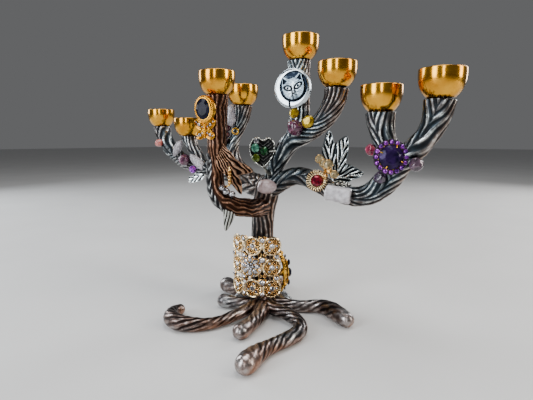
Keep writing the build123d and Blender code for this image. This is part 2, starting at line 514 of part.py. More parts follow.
# ------------------------------------------------------------------ jewellery: left branches
put("coral_bead", less(ball((-123.0, -8.2, 126.8), 3.8), LL))
mb = less(ball((-85.6, -8.0, 112.3), 5.4), LL)
put("mauve_bead_left", mb)
vl = less(gem(facing((-74.2, -8.2, 104.3), (0.45, -0.89, -0.1)), 3.4, depth=0.9), LL, mb)
put("violet_stone_left", vl)
sl = facing((-71.5, -5.2, 97.0), (0.5, -0.85, 0.0))
small = plate([(-7.6, -4.6), (-8.0, 0.6), (-4.0, 2.2), (1.0, 5.6), (7.0, 5.0), (6.6, 1.0), (4.0, -2.0), (0.6, -3.6)], sl, 0.8,
              below=0.8)
small = less(small, LL, vl)
put("small_leaf", small)
chip = plate([(-5.0, -7.4), (-1.6, -7.8), (2.4, -2.0), (4.8, 6.6), (1.0, 8.2), (-2.6, 2.0), (-5.4, -3.4)],
             facing((-100.6, -4.2, 122.0), (0.5, -0.85, 0.1)), 1.6, below=2.6)
chip = less(chip, LL, mb, NODES["cup_2"])
put("quartz_chip", chip)
dz = plate([(-8.4, 5.4), (-7.6, 7.6), (-1.0, 6.4), (4.6, 2.0), (8.2, -3.6), (7.2, -6.6), (2.6, -5.2), (-3.4, -0.6),
            (-7.8, 2.0)], facing((-68.6, -6.6, 110.4), (0.5, -0.85, 0.15)), 1.6, below=3.2)
dz = less(dz, LL, mb, vl)
put("drusy_chip", dz)

qn = plate([(-4.4, 7.0), (0.2, 9.4), (4.6, 7.8), (4.8, 1.0), (2.6, -6.4), (-1.4, -9.2), (-4.6, -5.0), (-5.2, 1.0)],
           facing((-33.6, 0.6, 149.0), (0.656, -0.755, 0.0)), 2.6, below=3.0)
qn = less(qn, LU, NODES["cup_4"])
put("quartz_nugget", qn)
garn = []
for p, r in (((-39.2, 1.2, 139.6), 3.0), ((-40.4, 0.8, 134.4), 3.1), ((-41.6, 0.8, 129.6), 2.6)):
    garn.append(less(ball(p, r), LU, qn, *garn))
put("garnet_cluster", garn)
rg = facing((-31.2, 2.2, 136.6), (0.656, -0.755, 0.0))
loop = less(lathe([(1.7, -0.55), (3.0, -0.55), (3.0, 0.55), (1.7, 0.55)], rg), LU, *garn)
put("ring_finding", loop)

# ------------------------------------------------------------------ jewellery round the trunk
FIL_R, FIL_T = 26.0, 1.5          # outer radius and thickness of the bowed openwork brooch
FIL_Z0, FIL_Z1 = 11.3, 59.0
FIL_AX = (-4.5, 8.0)              # the axis it is bowed about
COLS = (12.0, -20.7, -53.4)       # the three columns of rosettes, in degrees across FACE
ROWS = (51.0, 34.4, 17.8)


def fdir(deg):
    a = math.radians(deg)
    return FACE * math.cos(a) + ACROSS * math.sin(a)


def fpt(deg, r, z):
    d = fdir(deg)
    return Vector(FIL_AX[0] + d.X * r, FIL_AX[1] + d.Y * r, z)


shell = lathe([(FIL_R - FIL_T, FIL_Z0), (FIL_R, FIL_Z0), (FIL_R, FIL_Z1), (FIL_R - FIL_T, FIL_Z1)],
              Plane(origin=(FIL_AX[0], FIL_AX[1], 0)))
e0, e1 = fdir(28.0), fdir(-71.0)
far = 80
ax = Vector(FIL_AX[0], FIL_AX[1], 0)
wedge = Solid.extrude(Face(Wire.make_polygon([ax, ax + e1 * far, ax + (e1 + fdir(-21)).normalized() * far * 1.3,
                                              ax + (e0 + fdir(-21)).normalized() * far * 1.3, ax + e0 * far], close=True)),
                      Vector(0, 0, 100))
fil = largest(shell.intersect(wedge))
for cdeg in COLS:
    for z in ROWS:
        for i in range(6):
            a = math.pi / 3 * i
            dd = cdeg + math.degrees(4.35 * math.cos(a) / FIL_R)
            zz = z + 4.6 * math.sin(a)
            fil = less(fil, rod(fpt(dd, FIL_R - 4, zz), fpt(dd, FIL_R + 3, zz), 1.5))
for cdeg in (-4.3, -37.0):
    for z in (42.7, 26.1):
        fil = less(fil, rod(fpt(cdeg, FIL_R - 4, z), fpt(cdeg, FIL_R + 3, z), 1.7))
fil = join(fil, rod(fpt(-4.3, FIL_R - 0.4, 34.4), (1.5, -2.0, 34.4), 2.4),
           rod(fpt(-4.3, FIL_R - 0.4, 52.0), (1.5, -2.0, 52.0), 2.0))
fil = less(fil, TR)
fst = []
for cdeg in COLS:
    for z in ROWS:
        if (cdeg, z) == (COLS[1], ROWS[1]):
            continue
        fst.append((cdeg, z, 1.9, 1.2))
for cdeg, z, r, h in ((-4.3, 59.0 - 3.0, 1.8, 1.4), (-4.3, 39.5, 2.0, 1.6), (-4.3, 22.0, 2.2, 1.6), (20.0, 42.7, 1.7, 1.5),
                      (20.0, 25.6, 1.8, 1.5), (-4.3, 12.9, 1.8, 1.4), (-62.0, 42.7, 1.7, 1.4), (-62.0, 26.0, 1.7, 1.4),
                      (-37.0, 56.0, 1.6, 1.2)):
    fst.append((cdeg, z, r, h))
fst.append((-24.0, 35.5, 2.8, 3.2))
for i in range(8):
    a = 2 * math.pi * i / 8
    fst.append((-24.0 + math.degrees(5.6 * math.cos(a) / FIL_R), 35.5 + 5.6 * math.sin(a), 1.9, 2.4))
fstones = []
for cdeg, z, r, h in fst:
    q = fpt(cdeg, FIL_R, z)
    g = lathe([(0, -0.7), (0.8 * r, -0.7), (r, 0.3 * h), (0.6 * r, h), (0, h)], facing(q, fdir(cdeg)))
    fstones.append(less(g, fil))
put("filigree_brooch", fil)
put("filigree_stones", fstones)

# oval domed brooch on the trunk's right side
sc = ACROSS * 16.2 + Vector(0.3, -0.2, 25.6)
sbp = facing(sc, ACROSS)
sb = plate(oval_points(8.6, 17.4, 40), sbp, 1.6)
sb = join(sb, plate(oval_points(7.2, 15.6, 36), sbp, 3.6), plate(oval_points(4.6, 12.4, 32), sbp, 5.2))
sb = join(sb, rod((sc + ACROSS * 0.5), (sc - ACROSS * 12.0), 3.2))
for u, v in ((6.6, 14.2), (7.6, -7.6), (-6.6, 14.2), (-7.6, -7.6), (0.0, 16.6)):
    sb = join(sb, ball(sbp.from_local_coords(Vector(u * 0.98, v * 0.98, 1.8)), 1.5))
sb = less(sb, TR, fil)
sst = []
for u, v, r in ((0, 0, 3.6), (0, 8.2, 2.6), (0, -8.2, 2.6), (0.0, 13.2, 1.5), (0.0, -13.4, 1.5)):
    h = 5.2 if abs(v) < 12 else 3.6
    q = sbp.from_local_coords(Vector(u, v, h))
    sst.append(less(lathe([(0, -0.3), (r, -0.3), (r, 0.5), (0.6 * r, 1.5), (0, 1.6)], facing(q, ACROSS)), sb))
put("side_brooch", sb)
put("side_brooch_stones", sst)

# ------------------------------------------------------------------ write every node
for name, items in NODES.items():
    moved = [q.moved(Location((OX, OY, 0))) for q in items]
    shape = moved[0] if len(moved) == 1 else Compound(children=moved)
    export_step(shape, "parts/%s.step" % name)
print(len(NODES), "nodes written")
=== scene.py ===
import bpy
import math
import random
import numpy as np
from mathutils import Vector, Matrix
from mathutils.geometry import delaunay_2d_cdt


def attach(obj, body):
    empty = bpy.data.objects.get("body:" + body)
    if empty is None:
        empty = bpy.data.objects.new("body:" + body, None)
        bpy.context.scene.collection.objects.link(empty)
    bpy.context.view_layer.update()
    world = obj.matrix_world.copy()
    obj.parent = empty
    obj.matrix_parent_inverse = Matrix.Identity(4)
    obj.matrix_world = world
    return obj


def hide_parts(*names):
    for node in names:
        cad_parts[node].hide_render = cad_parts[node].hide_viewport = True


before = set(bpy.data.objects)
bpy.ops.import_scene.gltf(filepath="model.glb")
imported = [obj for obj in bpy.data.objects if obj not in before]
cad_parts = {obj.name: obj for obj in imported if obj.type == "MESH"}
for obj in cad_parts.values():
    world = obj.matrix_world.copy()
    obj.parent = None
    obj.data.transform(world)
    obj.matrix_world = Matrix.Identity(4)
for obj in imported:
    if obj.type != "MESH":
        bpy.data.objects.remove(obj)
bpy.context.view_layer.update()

random.seed(7)

# ------------------------------------------------------------------ frame and helpers
OX, OY = 0.20, 22.95                       # the same shift that the CAD model has, mm
FACE = np.array([0.656, -0.755, 0.0])
ACROSS = np.array([0.755, 0.656, 0.0])
UP = np.array([0.0, 0.0, 1.0])
DONE = []


def unit(v):
    v = np.asarray(v, float)
    return v / np.linalg.norm(v)


class Pl:
    """Local frame in the modelling coordinates (mm): x right, y up, n out."""
    def __init__(self, o, n, up=UP, spin=0.0):
        self.o = np.asarray(o, float)
        self.n = unit(n)
        x = unit(np.cross(up, self.n))
        y = np.cross(self.n, x)
        c, s = math.cos(spin), math.sin(spin)
        self.x, self.y = c * x + s * y, -s * x + c * y

    def at(self, u, v, w=0.0):
        return self.o + self.x * u + self.y * v + self.n * w


def build(name, verts, faces, mat, node, smooth=True, attrs=None, flat_angle=None):
    """Mesh object from vertices in modelling mm, riding on the body and standing for its CAD node."""
    v = np.asarray(verts, float).copy()
    v[:, 0] += OX
    v[:, 1] += OY
    v *= 0.001
    me = bpy.data.meshes.new(name)
    me.from_pydata([tuple(p) for p in v], [], [tuple(f) for f in faces])
    me.validate()
    me.update()
    for p in me.polygons:
        p.use_smooth = smooth
    if attrs:
        for k, a in attrs.items():
            at = me.attributes.new(k, "FLOAT", "POINT")
            at.data.foreach_set("value", np.asarray(a, dtype=np.float32))
    ob = bpy.data.objects.new(name, me)
    bpy.context.collection.objects.link(ob)
    me.materials.append(mat)
    if smooth and flat_angle:
        me.set_sharp_from_angle(angle=math.radians(flat_angle))
    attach(ob, "root")
    if node:
        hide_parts(node)
    DONE.append(name)
    return ob


class Soup:
    """Collects vertices and faces, with a groove value on each vertex; on some parts it is painted shade rather than a
    groove.
    """
    def __init__(self):
        self.v, self.f, self.g, self.m = [], [], [], []

    def add(self, v, f, g=0.0, mat=0):
        o = len(self.v)
        self.v += [tuple(map(float, p)) for p in v]
        self.f += [tuple(i + o for i in q) for q in f]
        self.m += [mat] * len(f)
        self.g += list(g) if hasattr(g, "__len__") else [g] * len(v)
        return self

    def make(self, name, mat, node, smooth=True, angle=35):
        ob = build(name, self.v, self.f, mat if not isinstance(mat, (list, tuple)) else mat[0], node, smooth,
                   {"groove_and_shade": self.g}, angle)
        if isinstance(mat, (list, tuple)):
            for m in mat[1:]:
                ob.data.materials.append(m)
            if len(ob.data.polygons) == len(self.m):
                ob.data.polygons.foreach_set("material_index", self.m)
        return ob


def resample(st, step):
    st = np.asarray(st, float)
    d = np.concatenate([[0], np.cumsum(np.linalg.norm(np.diff(st[:, :3], axis=0), axis=1))])
    tan = np.zeros_like(st)
    for i in range(len(st)):
        lo, hi = max(i - 1, 0), min(i + 1, len(st) - 1)
        tan[i] = (st[hi] - st[lo]) / (d[hi] - d[lo])
    n = max(2, int(round(d[-1] / step)) + 1)
    out = []
    for s in np.linspace(0, d[-1], n):
        i = min(max(int(np.searchsorted(d, s, side="right")) - 1, 0), len(st) - 2)
        h = d[i + 1] - d[i]
        t = (s - d[i]) / h
        h00, h10 = 2 * t**3 - 3 * t**2 + 1, t**3 - 2 * t**2 + t
        h01, h11 = -2 * t**3 + 3 * t**2, t**3 - t**2
        out.append(h00 * st[i] + h10 * h * tan[i] + h01 * st[i + 1] + h11 * h * tan[i + 1])
    return np.array(out)


def frames(pos, first=(0, 1, 0), closed=False):
    n = len(pos)
    if closed:
        t = np.roll(pos, -1, axis=0) - np.roll(pos, 1, axis=0)
    else:
        t = np.gradient(pos, axis=0)
    t /= np.linalg.norm(t, axis=1)[:, None] + 1e-12
    x = np.asarray(first, float)
    if abs(np.dot(unit(x), t[0])) > 0.9:
        x = np.array([1.0, 0.3, 0.2])
    xs = []
    for i in range(n):
        x = unit(x - t[i] * np.dot(x, t[i]))
        xs.append(x)
    xs = np.array(xs)
    return t, xs, np.cross(t, xs)


def tube(pos, rad, seg=10, closed=False, first=(0, 0, 1), flat=1.0, round_end=False, round_start=False):
    """Verts and faces of a tube along pos; rad is a number or one per point."""
    pos = np.asarray(pos, float)
    rad = np.full(len(pos), float(rad)) if np.isscalar(rad) else np.asarray(rad, float)
    if not closed and (round_end or round_start):
        P, R_ = list(pos), list(rad)
        if round_end:
            t = unit(pos[-1] - pos[-2]); r = rad[-1]
            for k in (18, 36, 54, 70, 82):
                a = math.radians(k); P.append(pos[-1] + t * r * math.sin(a)); R_.append(r * math.cos(a))
        if round_start:
            t = unit(pos[0] - pos[1]); r = rad[0]
            for k in (18, 36, 54, 70, 82):
                a = math.radians(k); P.insert(0, pos[0] + t * r * math.sin(a)); R_.insert(0, r * math.cos(a))
        pos, rad = np.array(P), np.array(R_)
    t, x, y = frames(pos, first, closed)
    n = len(pos)
    a = np.linspace(0, 2 * math.pi, seg, endpoint=False)
    v = pos[:, None, :] + rad[:, None, None] * (np.cos(a)[None, :, None] * x[:, None, :] * flat + np.sin(a)[None, :, None] * y[:, None, :])
    v = v.reshape(-1, 3)
    f = []
    for i in range(n if closed else n - 1):
        j = (i + 1) % n
        for k in range(seg):
            l = (k + 1) % seg
            f.append((i * seg + k, i * seg + l, j * seg + l, j * seg + k))
    if not closed:
        c0, c1 = len(v), len(v) + 1
        v = np.vstack([v, pos[0], pos[-1]])
        for k in range(seg):
            l = (k + 1) % seg
            f.append((c0, l, k))
            f.append((c1, (n - 1) * seg + k, (n - 1) * seg + l))
    return v, f


def lathe(pl, prof, seg=64, mod=None):
    """Closed or open outline of (r, z) turned about the plane's normal."""
    v, f = [], []
    n = len(prof)
    for k in range(seg):
        a = 2 * math.pi * k / seg
        for r, z in prof:
            rr = r if mod is None else mod(r, z, a)[0]
            zz = z if mod is None else mod(r, z, a)[1]
            v.append(pl.at(rr * math.cos(a), rr * math.sin(a), zz))
    for k in range(seg):
        l = (k + 1) % seg
        for i in range(n - 1):
            if prof[i][0] < 1e-6 and prof[i + 1][0] < 1e-6:
                continue
            f.append((k * n + i, l * n + i, l * n + i + 1, k * n + i + 1))
    return np.array(v), f


def arc_profile(pts, n=6):
    """Rounds an outline by Catmull-Rom between its points."""
    p = np.array(pts, float)
    out = []
    for i in range(len(p) - 1):
        p0, p1, p2, p3 = p[max(i - 1, 0)], p[i], p[i + 1], p[min(i + 2, len(p) - 1)]
        for t in np.linspace(0, 1, n, endpoint=False):
            out.append(0.5 * ((2 * p1) + (-p0 + p2) * t + (2 * p0 - 5 * p1 + 4 * p2 - p3) * t**2 + (-p0 + 3 * p1 - 3 * p2 + p3) * t**3))
    out.append(p[-1])
    return [(max(float(a), 0.0), float(b)) for a, b in out]


def brilliant(pl, r, crown=0.42, depth=0.6, n=8, table=0.55, sx=1.0, sy=1.0):
    """Cut stone: table, star and bezel facets, girdle, blunt pavilion."""
    v, f = [], []

    def ring(k, rr, z, off):
        i0 = len(v)
        for i in range(k):
            a = 2 * math.pi * (i + off) / k
            v.append(pl.at(sx * rr * math.cos(a), sy * rr * math.sin(a), z))
        return i0
    a0 = ring(n, table * r, crown * r, 0.0)
    a1 = ring(n, 0.8 * r, 0.6 * crown * r, 0.5)
    a2 = ring(2 * n, r, 0.06 * r, 0.0)
    a3 = ring(2 * n, r, -0.04 * r, 0.0)
    a4 = ring(n, 0.3 * r, -depth * r, 0.0)
    f.append(tuple(range(a0, a0 + n)))
    for i in range(n):
        j = (i + 1) % n
        f.append((a0 + i, a1 + i, a0 + j))
        f.append((a1 + i, a2 + 2 * i, a2 + 2 * i + 1))
        f.append((a1 + i, a2 + 2 * i + 1, a2 + (2 * i + 2) % (2 * n)))
        f.append((a0 + j, a1 + i, a2 + (2 * i + 2) % (2 * n), a1 + j))
    for i in range(2 * n):
        j = (i + 1) % (2 * n)
        f.append((a2 + i, a3 + i, a3 + j, a2 + j))
    for i in range(n):
        j = (i + 1) % n
        f.append((a3 + 2 * i, a4 + i, a3 + 2 * i + 1))
        f.append((a3 + 2 * i + 1, a4 + i, a4 + j))
        f.append((a3 + 2 * i + 1, a4 + j, a3 + (2 * i + 2) % (2 * n)))
    f.append(tuple(range(a4 + n - 1, a4 - 1, -1)))
    return np.array(v), f


def dome(pl, r, h, seg=14, rings=4, base=0.3):
    prof = [(r, -base)] + [(r * math.cos(math.radians(a)), h * math.sin(math.radians(a))) for a in np.linspace(0, 90, rings + 1)]
    prof[-1] = (0.0, h)
    return lathe(pl, prof, seg)


def sphere(c, r, seg=20, rings=12, s=(1, 1, 1)):
    v, f = [], []
    c = np.asarray(c, float)
    for i in range(1, rings):
        ph = math.pi * i / rings
        for k in range(seg):
            th = 2 * math.pi * k / seg
            v.append(c + r * np.array([math.sin(ph) * math.cos(th) * s[0], math.sin(ph) * math.sin(th) * s[1], math.cos(ph) * s[2]]))
    for i in range(rings - 2):
        for k in range(seg):
            l = (k + 1) % seg
            f.append((i * seg + k, (i + 1) * seg + k, (i + 1) * seg + l, i * seg + l))
    t, b = len(v), len(v) + 1
    v += [c + np.array([0, 0, r * s[2]]), c - np.array([0, 0, r * s[2]])]
    for k in range(seg):
        l = (k + 1) % seg
        f.append((t, k, l))
        f.append((b, (rings - 2) * seg + l, (rings - 2) * seg + k))
    return np.array(v), f


def rock(pl, size, seed, planes=16, soft=9.0, seg=40, rings=28, rough=0.0):
    """Broken or tumbled stone: a ball cut by random planes, softened at its edges."""
    rs = np.random.RandomState(seed)
    nn = rs.normal(size=(planes, 3))
    nn /= np.linalg.norm(nn, axis=1)[:, None]
    off = 0.78 + 0.22 * rs.rand(planes)
    v, f = sphere((0, 0, 0), 1.0, seg, rings)
    d = np.asarray(v)
    k = np.clip(d @ nn.T / off[None, :], 1e-3, None)
    rad = (np.sum(k ** soft, axis=1) + 1.0) ** (-1.0 / soft)
    if rough:
        rad *= 1 + rough * (np.sin(d[:, 0] * 17 + seed) * np.sin(d[:, 1] * 19) * np.sin(d[:, 2] * 23 + 1) + 0.6 * np.sin(d[:, 0] * 41 + d[:, 2] * 37))
    d = d * rad[:, None]
    d = d / np.max(np.abs(d), axis=0)
    out = np.array([pl.at(size[0] * p[0], size[1] * p[1], size[2] * p[2]) for p in d])
    return out, f


def seg_dist(p, poly):
    """Distance from points to a closed outline."""
    best = np.full(len(p), 1e9)
    m = len(poly)
    for i in range(m):
        a, b = np.array(poly[i]), np.array(poly[(i + 1) % m])
        ab = b - a
        t = np.clip(((p - a) @ ab) / (ab @ ab + 1e-12), 0, 1)
        best = np.minimum(best, np.linalg.norm(p - (a + t[:, None] * ab), axis=1))
    return best


def smooth_outline(poly, n=5):
    p = np.array(poly, float)
    m = len(p)
    out = []
    for i in range(m):
        p0, p1, p2, p3 = p[i - 1], p[i], p[(i + 1) % m], p[(i + 2) % m]
        for t in np.linspace(0, 1, n, endpoint=False):
            out.append(tuple(0.5 * ((2 * p1) + (-p0 + p2) * t + (2 * p0 - 5 * p1 + 4 * p2 - p3) * t**2 + (-p0 + 3 * p1 - 3 * p2 + p3) * t**3)))
    return out


def relief(pl, outline, hfun, t=0.8, step=0.4, warp=None):
    """Closed plate with a worked top: hfun(uv, edge distance) gives height and groove."""
    o = np.array(outline)
    lo, hi = o.min(axis=0), o.max(axis=0)
    gu, gv = np.meshgrid(np.arange(lo[0], hi[0], step), np.arange(lo[1], hi[1], step * 0.88))
    gu = gu + (np.arange(gu.shape[0]) % 2)[:, None] * step * 0.5
    g = np.stack([gu.ravel(), gv.ravel()], axis=1)
    inside = np.zeros(len(g), bool)
    m = len(o)
    for i in range(m):
        a, b = o[i], o[(i + 1) % m]
        c = ((a[1] > g[:, 1]) != (b[1] > g[:, 1]))
        with np.errstate(divide="ignore", invalid="ignore"):
            xx = (b[0] - a[0]) * (g[:, 1] - a[1]) / (b[1] - a[1] + 1e-15) + a[0]
        inside ^= c & (g[:, 0] < xx)
    g = g[inside]
    g = g[seg_dist(g, outline) > step * 0.45]
    pts = [Vector(map(float, p)) for p in outline] + [Vector(map(float, p)) for p in g]
    res = delaunay_2d_cdt(pts, [], [tuple(range(m))], 1, 1e-5)
    uv = np.array([[p.x, p.y] for p in res[0]])
    tris = res[2]
    ed = seg_dist(uv, outline)
    h, gr = hfun(uv, ed)
    w = warp(uv) if warp else np.zeros(len(uv))
    n = len(uv)
    top = np.array([pl.at(u[0], u[1], hh + ww) for u, hh, ww in zip(uv, h, w)])
    bot = np.array([pl.at(u[0], u[1], -t + ww) for u, ww in zip(uv, w)])
    f = [tuple(q) for q in tris] + [tuple(i + n for i in reversed(q)) for q in tris]
    count = {}
    for q in tris:
        q = list(q)
        for a, b in zip(q, q[1:] + q[:1]):
            count[(a, b)] = 1
    for (a, b) in list(count):
        if (b, a) not in count:
            f.append((b, a, a + n, b + n))
    return np.vstack([top, bot]), f, np.concatenate([gr, np.zeros(n)])


def sstep(a, b, x):
    t = np.clip((x - a) / (b - a), 0, 1)
    return t * t * (3 - 2 * t)


def wob(p, k, seed=0.0):
    p = np.asarray(p) * k
    return (np.sin(p[:, 0] * 1.0 + 1.7 * np.sin(p[:, 1] * 0.8 + seed) + seed) + np.sin(p[:, 1] * 1.3 + 1.3 * np.sin(p[:, 2] * 1.1) + 2.1 * seed)
            + np.sin(p[:, 2] * 1.2 + 1.5 * np.sin(p[:, 0] * 0.9 + 0.5 * seed) + 4.0)) / 3.0


# ------------------------------------------------------------------ materials
def nodes_of(name):
    m = bpy.data.materials.new(name)
    m.use_nodes = True
    nt = m.node_tree
    bs = nt.nodes["Principled BSDF"]
    return m, nt, bs


def add(nt, kind, **kw):
    n = nt.nodes.new(kind)
    for k, v in kw.items():
        if k in ("operation", "blend_type", "data_type", "attribute_name", "attribute_type", "feature", "distance", "interpolation"):
            setattr(n, k, v)
        else:
            n.inputs[k.replace("_", " ")].default_value = v
    return n


def ramp(nt, fac, stops):
    r = nt.nodes.new("ShaderNodeValToRGB")
    el = r.color_ramp.elements
    while len(el) > 1:
        el.remove(el[-1])
    el[0].position, el[0].color = stops[0][0], stops[0][1]
    for p, c in stops[1:]:
        e = el.new(p)
        e.color = c
    nt.links.new(fac, r.inputs["Fac"])
    return r.outputs["Color"]


def c4(r, g, b):
    return (r, g, b, 1.0)


def obj_coords(nt):
    return nt.nodes.new("ShaderNodeTexCoord").outputs["Object"]


def noise_tex(nt, scale, detail=4.0, rough=0.55, vec=None):
    n = nt.nodes.new("ShaderNodeTexNoise")
    n.inputs["Scale"].default_value = scale
    n.inputs["Detail"].default_value = detail
    n.inputs["Roughness"].default_value = rough
    nt.links.new(vec if vec is not None else obj_coords(nt), n.inputs["Vector"])
    return n.outputs["Fac"]


def mixc(nt, fac, a, b, blend="MIX"):
    m = nt.nodes.new("ShaderNodeMix")
    m.data_type = "RGBA"
    m.blend_type = blend
    for sock, val in ((m.inputs[0], fac), (m.inputs[6], a), (m.inputs[7], b)):
        if isinstance(val, bpy.types.NodeSocket):
            nt.links.new(val, sock)
        else:
            sock.default_value = val
    return m.outputs[2]


def mth(nt, op, a, b=0.0, clamp=False):
    m = nt.nodes.new("ShaderNodeMath")
    m.operation = op
    m.use_clamp = clamp
    for sock, val in ((m.inputs[0], a), (m.inputs[1], b)):
        if isinstance(val, bpy.types.NodeSocket):
            nt.links.new(val, sock)
        else:
            sock.default_value = val
    return m.outputs[0]


def attr(nt, name):
    n = nt.nodes.new("ShaderNodeAttribute")
    n.attribute_type = "GEOMETRY"
    n.attribute_name = name
    return n.outputs["Fac"]


def bump(nt, bs, height, strength=0.2, dist=0.0003):
    b = nt.nodes.new("ShaderNodeBump")
    b.inputs["Strength"].default_value = strength
    b.inputs["Distance"].default_value = dist
    nt.links.new(height, b.inputs["Height"])
    nt.links.new(b.outputs["Normal"], bs.inputs["Normal"])


def antique(name, high, mid, dark, copper=None, r0=0.22, r1=0.55):
    """Worn metal: bright on the ridges, blackened in the grooves, copper coming through in patches and as painted shade
    on the lower right side of each limb; on the medallion the groove value is painted shade.
    """
    m, nt, bs = nodes_of(name)
    g = attr(nt, "groove_and_shade")
    fine = noise_tex(nt, 900.0, 5.0, 0.6)
    mott = noise_tex(nt, 230.0, 4.0, 0.6)
    gg = mth(nt, "ADD", g, mth(nt, "MULTIPLY", mth(nt, "SUBTRACT", mott, 0.5), 0.55), clamp=True)
    col = ramp(nt, gg, [(0.04, high), (0.22, mid), (0.58, dark), (1.0, c4(dark[0] * 0.5, dark[1] * 0.5, dark[2] * 0.5))])
    if copper:
        # the copper value is part patina, part painted shade on the side of each limb that faces down and to the right
        copper_and_shade_mask = attr(nt, "copper")
        cc = mth(nt, "ADD", copper_and_shade_mask, mth(nt, "MULTIPLY", mth(nt, "SUBTRACT", mott, 0.5), 0.9), clamp=True)
        cbase = ramp(nt, gg, [(0.04, c4(min(copper[0] * 2.0, 1), min(copper[1] * 2.1, 1), min(copper[2] * 2.2, 1))), (0.24, copper), (0.60, c4(copper[0] * 0.13, copper[1] * 0.12, copper[2] * 0.12))])
        col = mixc(nt, cc, col, cbase)
    nt.links.new(col, bs.inputs["Base Color"])
    bs.inputs["Metallic"].default_value = 1.0
    rr = mth(nt, "ADD", mth(nt, "MULTIPLY", gg, r1 - r0), mth(nt, "MULTIPLY", fine, 0.16))
    nt.links.new(mth(nt, "ADD", rr, r0 - 0.06, clamp=True), bs.inputs["Roughness"])
    bump(nt, bs, mth(nt, "ADD", fine, mott), 0.25, 0.00012)
    return m


def polished(name, col, col2, rough=0.1, bump_s=0.06, scale=140.0, tarnish_and_shade=True):
    """Plated metal with faint waviness, small dark specks of tarnish, and a dark tone from the groove value, which is
    groove blackening on some parts and painted shade under, inside and behind others.
    """
    m, nt, bs = nodes_of(name)
    n1 = noise_tex(nt, scale, 3.0, 0.5)
    fine = noise_tex(nt, 1600.0, 4.0, 0.65)
    col_o = mixc(nt, mth(nt, "ADD", mth(nt, "MULTIPLY", mth(nt, "SUBTRACT", n1, 0.5), 2.4), 0.45, clamp=True), col, col2)
    if tarnish_and_shade:
        g = attr(nt, "groove_and_shade")
        # groove blackening and painted shade: the groove value mixes in a near-black tone
        col_o = mixc(nt, mth(nt, "MULTIPLY", g, 0.92, clamp=True), col_o, c4(col2[0] * 0.09, col2[1] * 0.07, col2[2] * 0.05))
        sp = ramp(nt, fine, [(0.66, c4(0, 0, 0)), (0.74, c4(1, 1, 1))])
        col_o = mixc(nt, mth(nt, "MULTIPLY", sp, 0.35), col_o, c4(col2[0] * 0.4, col2[1] * 0.33, col2[2] * 0.25))
    nt.links.new(col_o, bs.inputs["Base Color"])
    bs.inputs["Metallic"].default_value = 1.0
    nt.links.new(mth(nt, "ADD", mth(nt, "MULTIPLY", fine, 0.10), rough - 0.04, clamp=True), bs.inputs["Roughness"])
    bump(nt, bs, n1, bump_s, 0.0006)
    return m


def stone(name, a, b, rough=0.05, trans=0.0, metal=0.0, scale=260.0, ior=1.6, coat=0.0, sub=0.0, bump_s=0.0, spec=0.5):
    m, nt, bs = nodes_of(name)
    n1 = noise_tex(nt, scale, 3.0, 0.55)
    col = ramp(nt, n1, [(0.35, a), (0.68, b)])
    nt.links.new(col, bs.inputs["Base Color"])
    bs.inputs["Roughness"].default_value = rough
    bs.inputs["Metallic"].default_value = metal
    bs.inputs["IOR"].default_value = ior
    bs.inputs["Transmission Weight"].default_value = trans
    bs.inputs["Specular IOR Level"].default_value = spec
    if coat:
        bs.inputs["Coat Weight"].default_value = coat
        bs.inputs["Coat Roughness"].default_value = 0.03
    if sub:
        bs.inputs["Subsurface Weight"].default_value = sub
        bs.inputs["Subsurface Scale"].default_value = 0.003
        bs.inputs["Subsurface Radius"].default_value = (1.0, 0.8, 0.8)
    if bump_s:
        bump(nt, bs, noise_tex(nt, scale * 2.5, 5.0, 0.65), bump_s, 0.0004)
    return m


SILVER = antique("antique_silver_bark", c4(0.54, 0.60, 0.60), c4(0.105, 0.124, 0.135), c4(0.020, 0.029, 0.036), c4(0.20, 0.115, 0.075), 0.24, 0.50)
ROOTM = antique("antique_root_metal", c4(0.42, 0.44, 0.45), c4(0.105, 0.115, 0.125), c4(0.012, 0.015, 0.018), c4(0.17, 0.085, 0.052), 0.26, 0.50)
COPPER = antique("copper_patina_bark", c4(0.36, 0.21, 0.13), c4(0.11, 0.056, 0.034), c4(0.012, 0.008, 0.007), c4(0.20, 0.10, 0.058), 0.26, 0.54)
BRIGHT = antique("bright_silver_leaf", c4(0.74, 0.79, 0.79), c4(0.13, 0.155, 0.165), c4(0.010, 0.014, 0.018), None, 0.14, 0.45)
ARMMAT = antique("copper_patina_arm", c4(0.58, 0.60, 0.58), c4(0.13, 0.13, 0.13), c4(0.012, 0.012, 0.014), c4(0.17, 0.082, 0.048), 0.24, 0.52)
DARKLEAF = antique("dark_silver_leaf", c4(0.46, 0.46, 0.42), c4(0.10, 0.10, 0.09), c4(0.012, 0.012, 0.012), None, 0.20, 0.5)
MEDAL = antique("medallion_silver", c4(0.56, 0.62, 0.66), c4(0.20, 0.25, 0.29), c4(0.008, 0.012, 0.020), None, 0.24, 0.45)
GOLD = polished("gold_cup_metal", c4(0.84, 0.43, 0.038), c4(0.50, 0.20, 0.012), 0.17, 0.10, 90.0)
TRIM = polished("gold_trim_metal", c4(0.92, 0.62, 0.25), c4(0.56, 0.26, 0.06), 0.16, 0.10, 500.0)
RIMG = polished("pale_gold_rim_metal", c4(0.95, 0.82, 0.56), c4(0.74, 0.50, 0.24), 0.14, 0.10, 500.0)
SIDEG = polished("old_gold_metal", c4(0.86, 0.49, 0.06), c4(0.50, 0.24, 0.02), 0.16, 0.10, 400.0)
DARKM = polished("blackened_metal", c4(0.10, 0.08, 0.10), c4(0.05, 0.04, 0.05), 0.35, 0.1, 400.0)
STEEL = polished("screw_metal", c4(0.62, 0.62, 0.63), c4(0.45, 0.45, 0.47), 0.3, 0.05, 800.0, tarnish_and_shade=False)
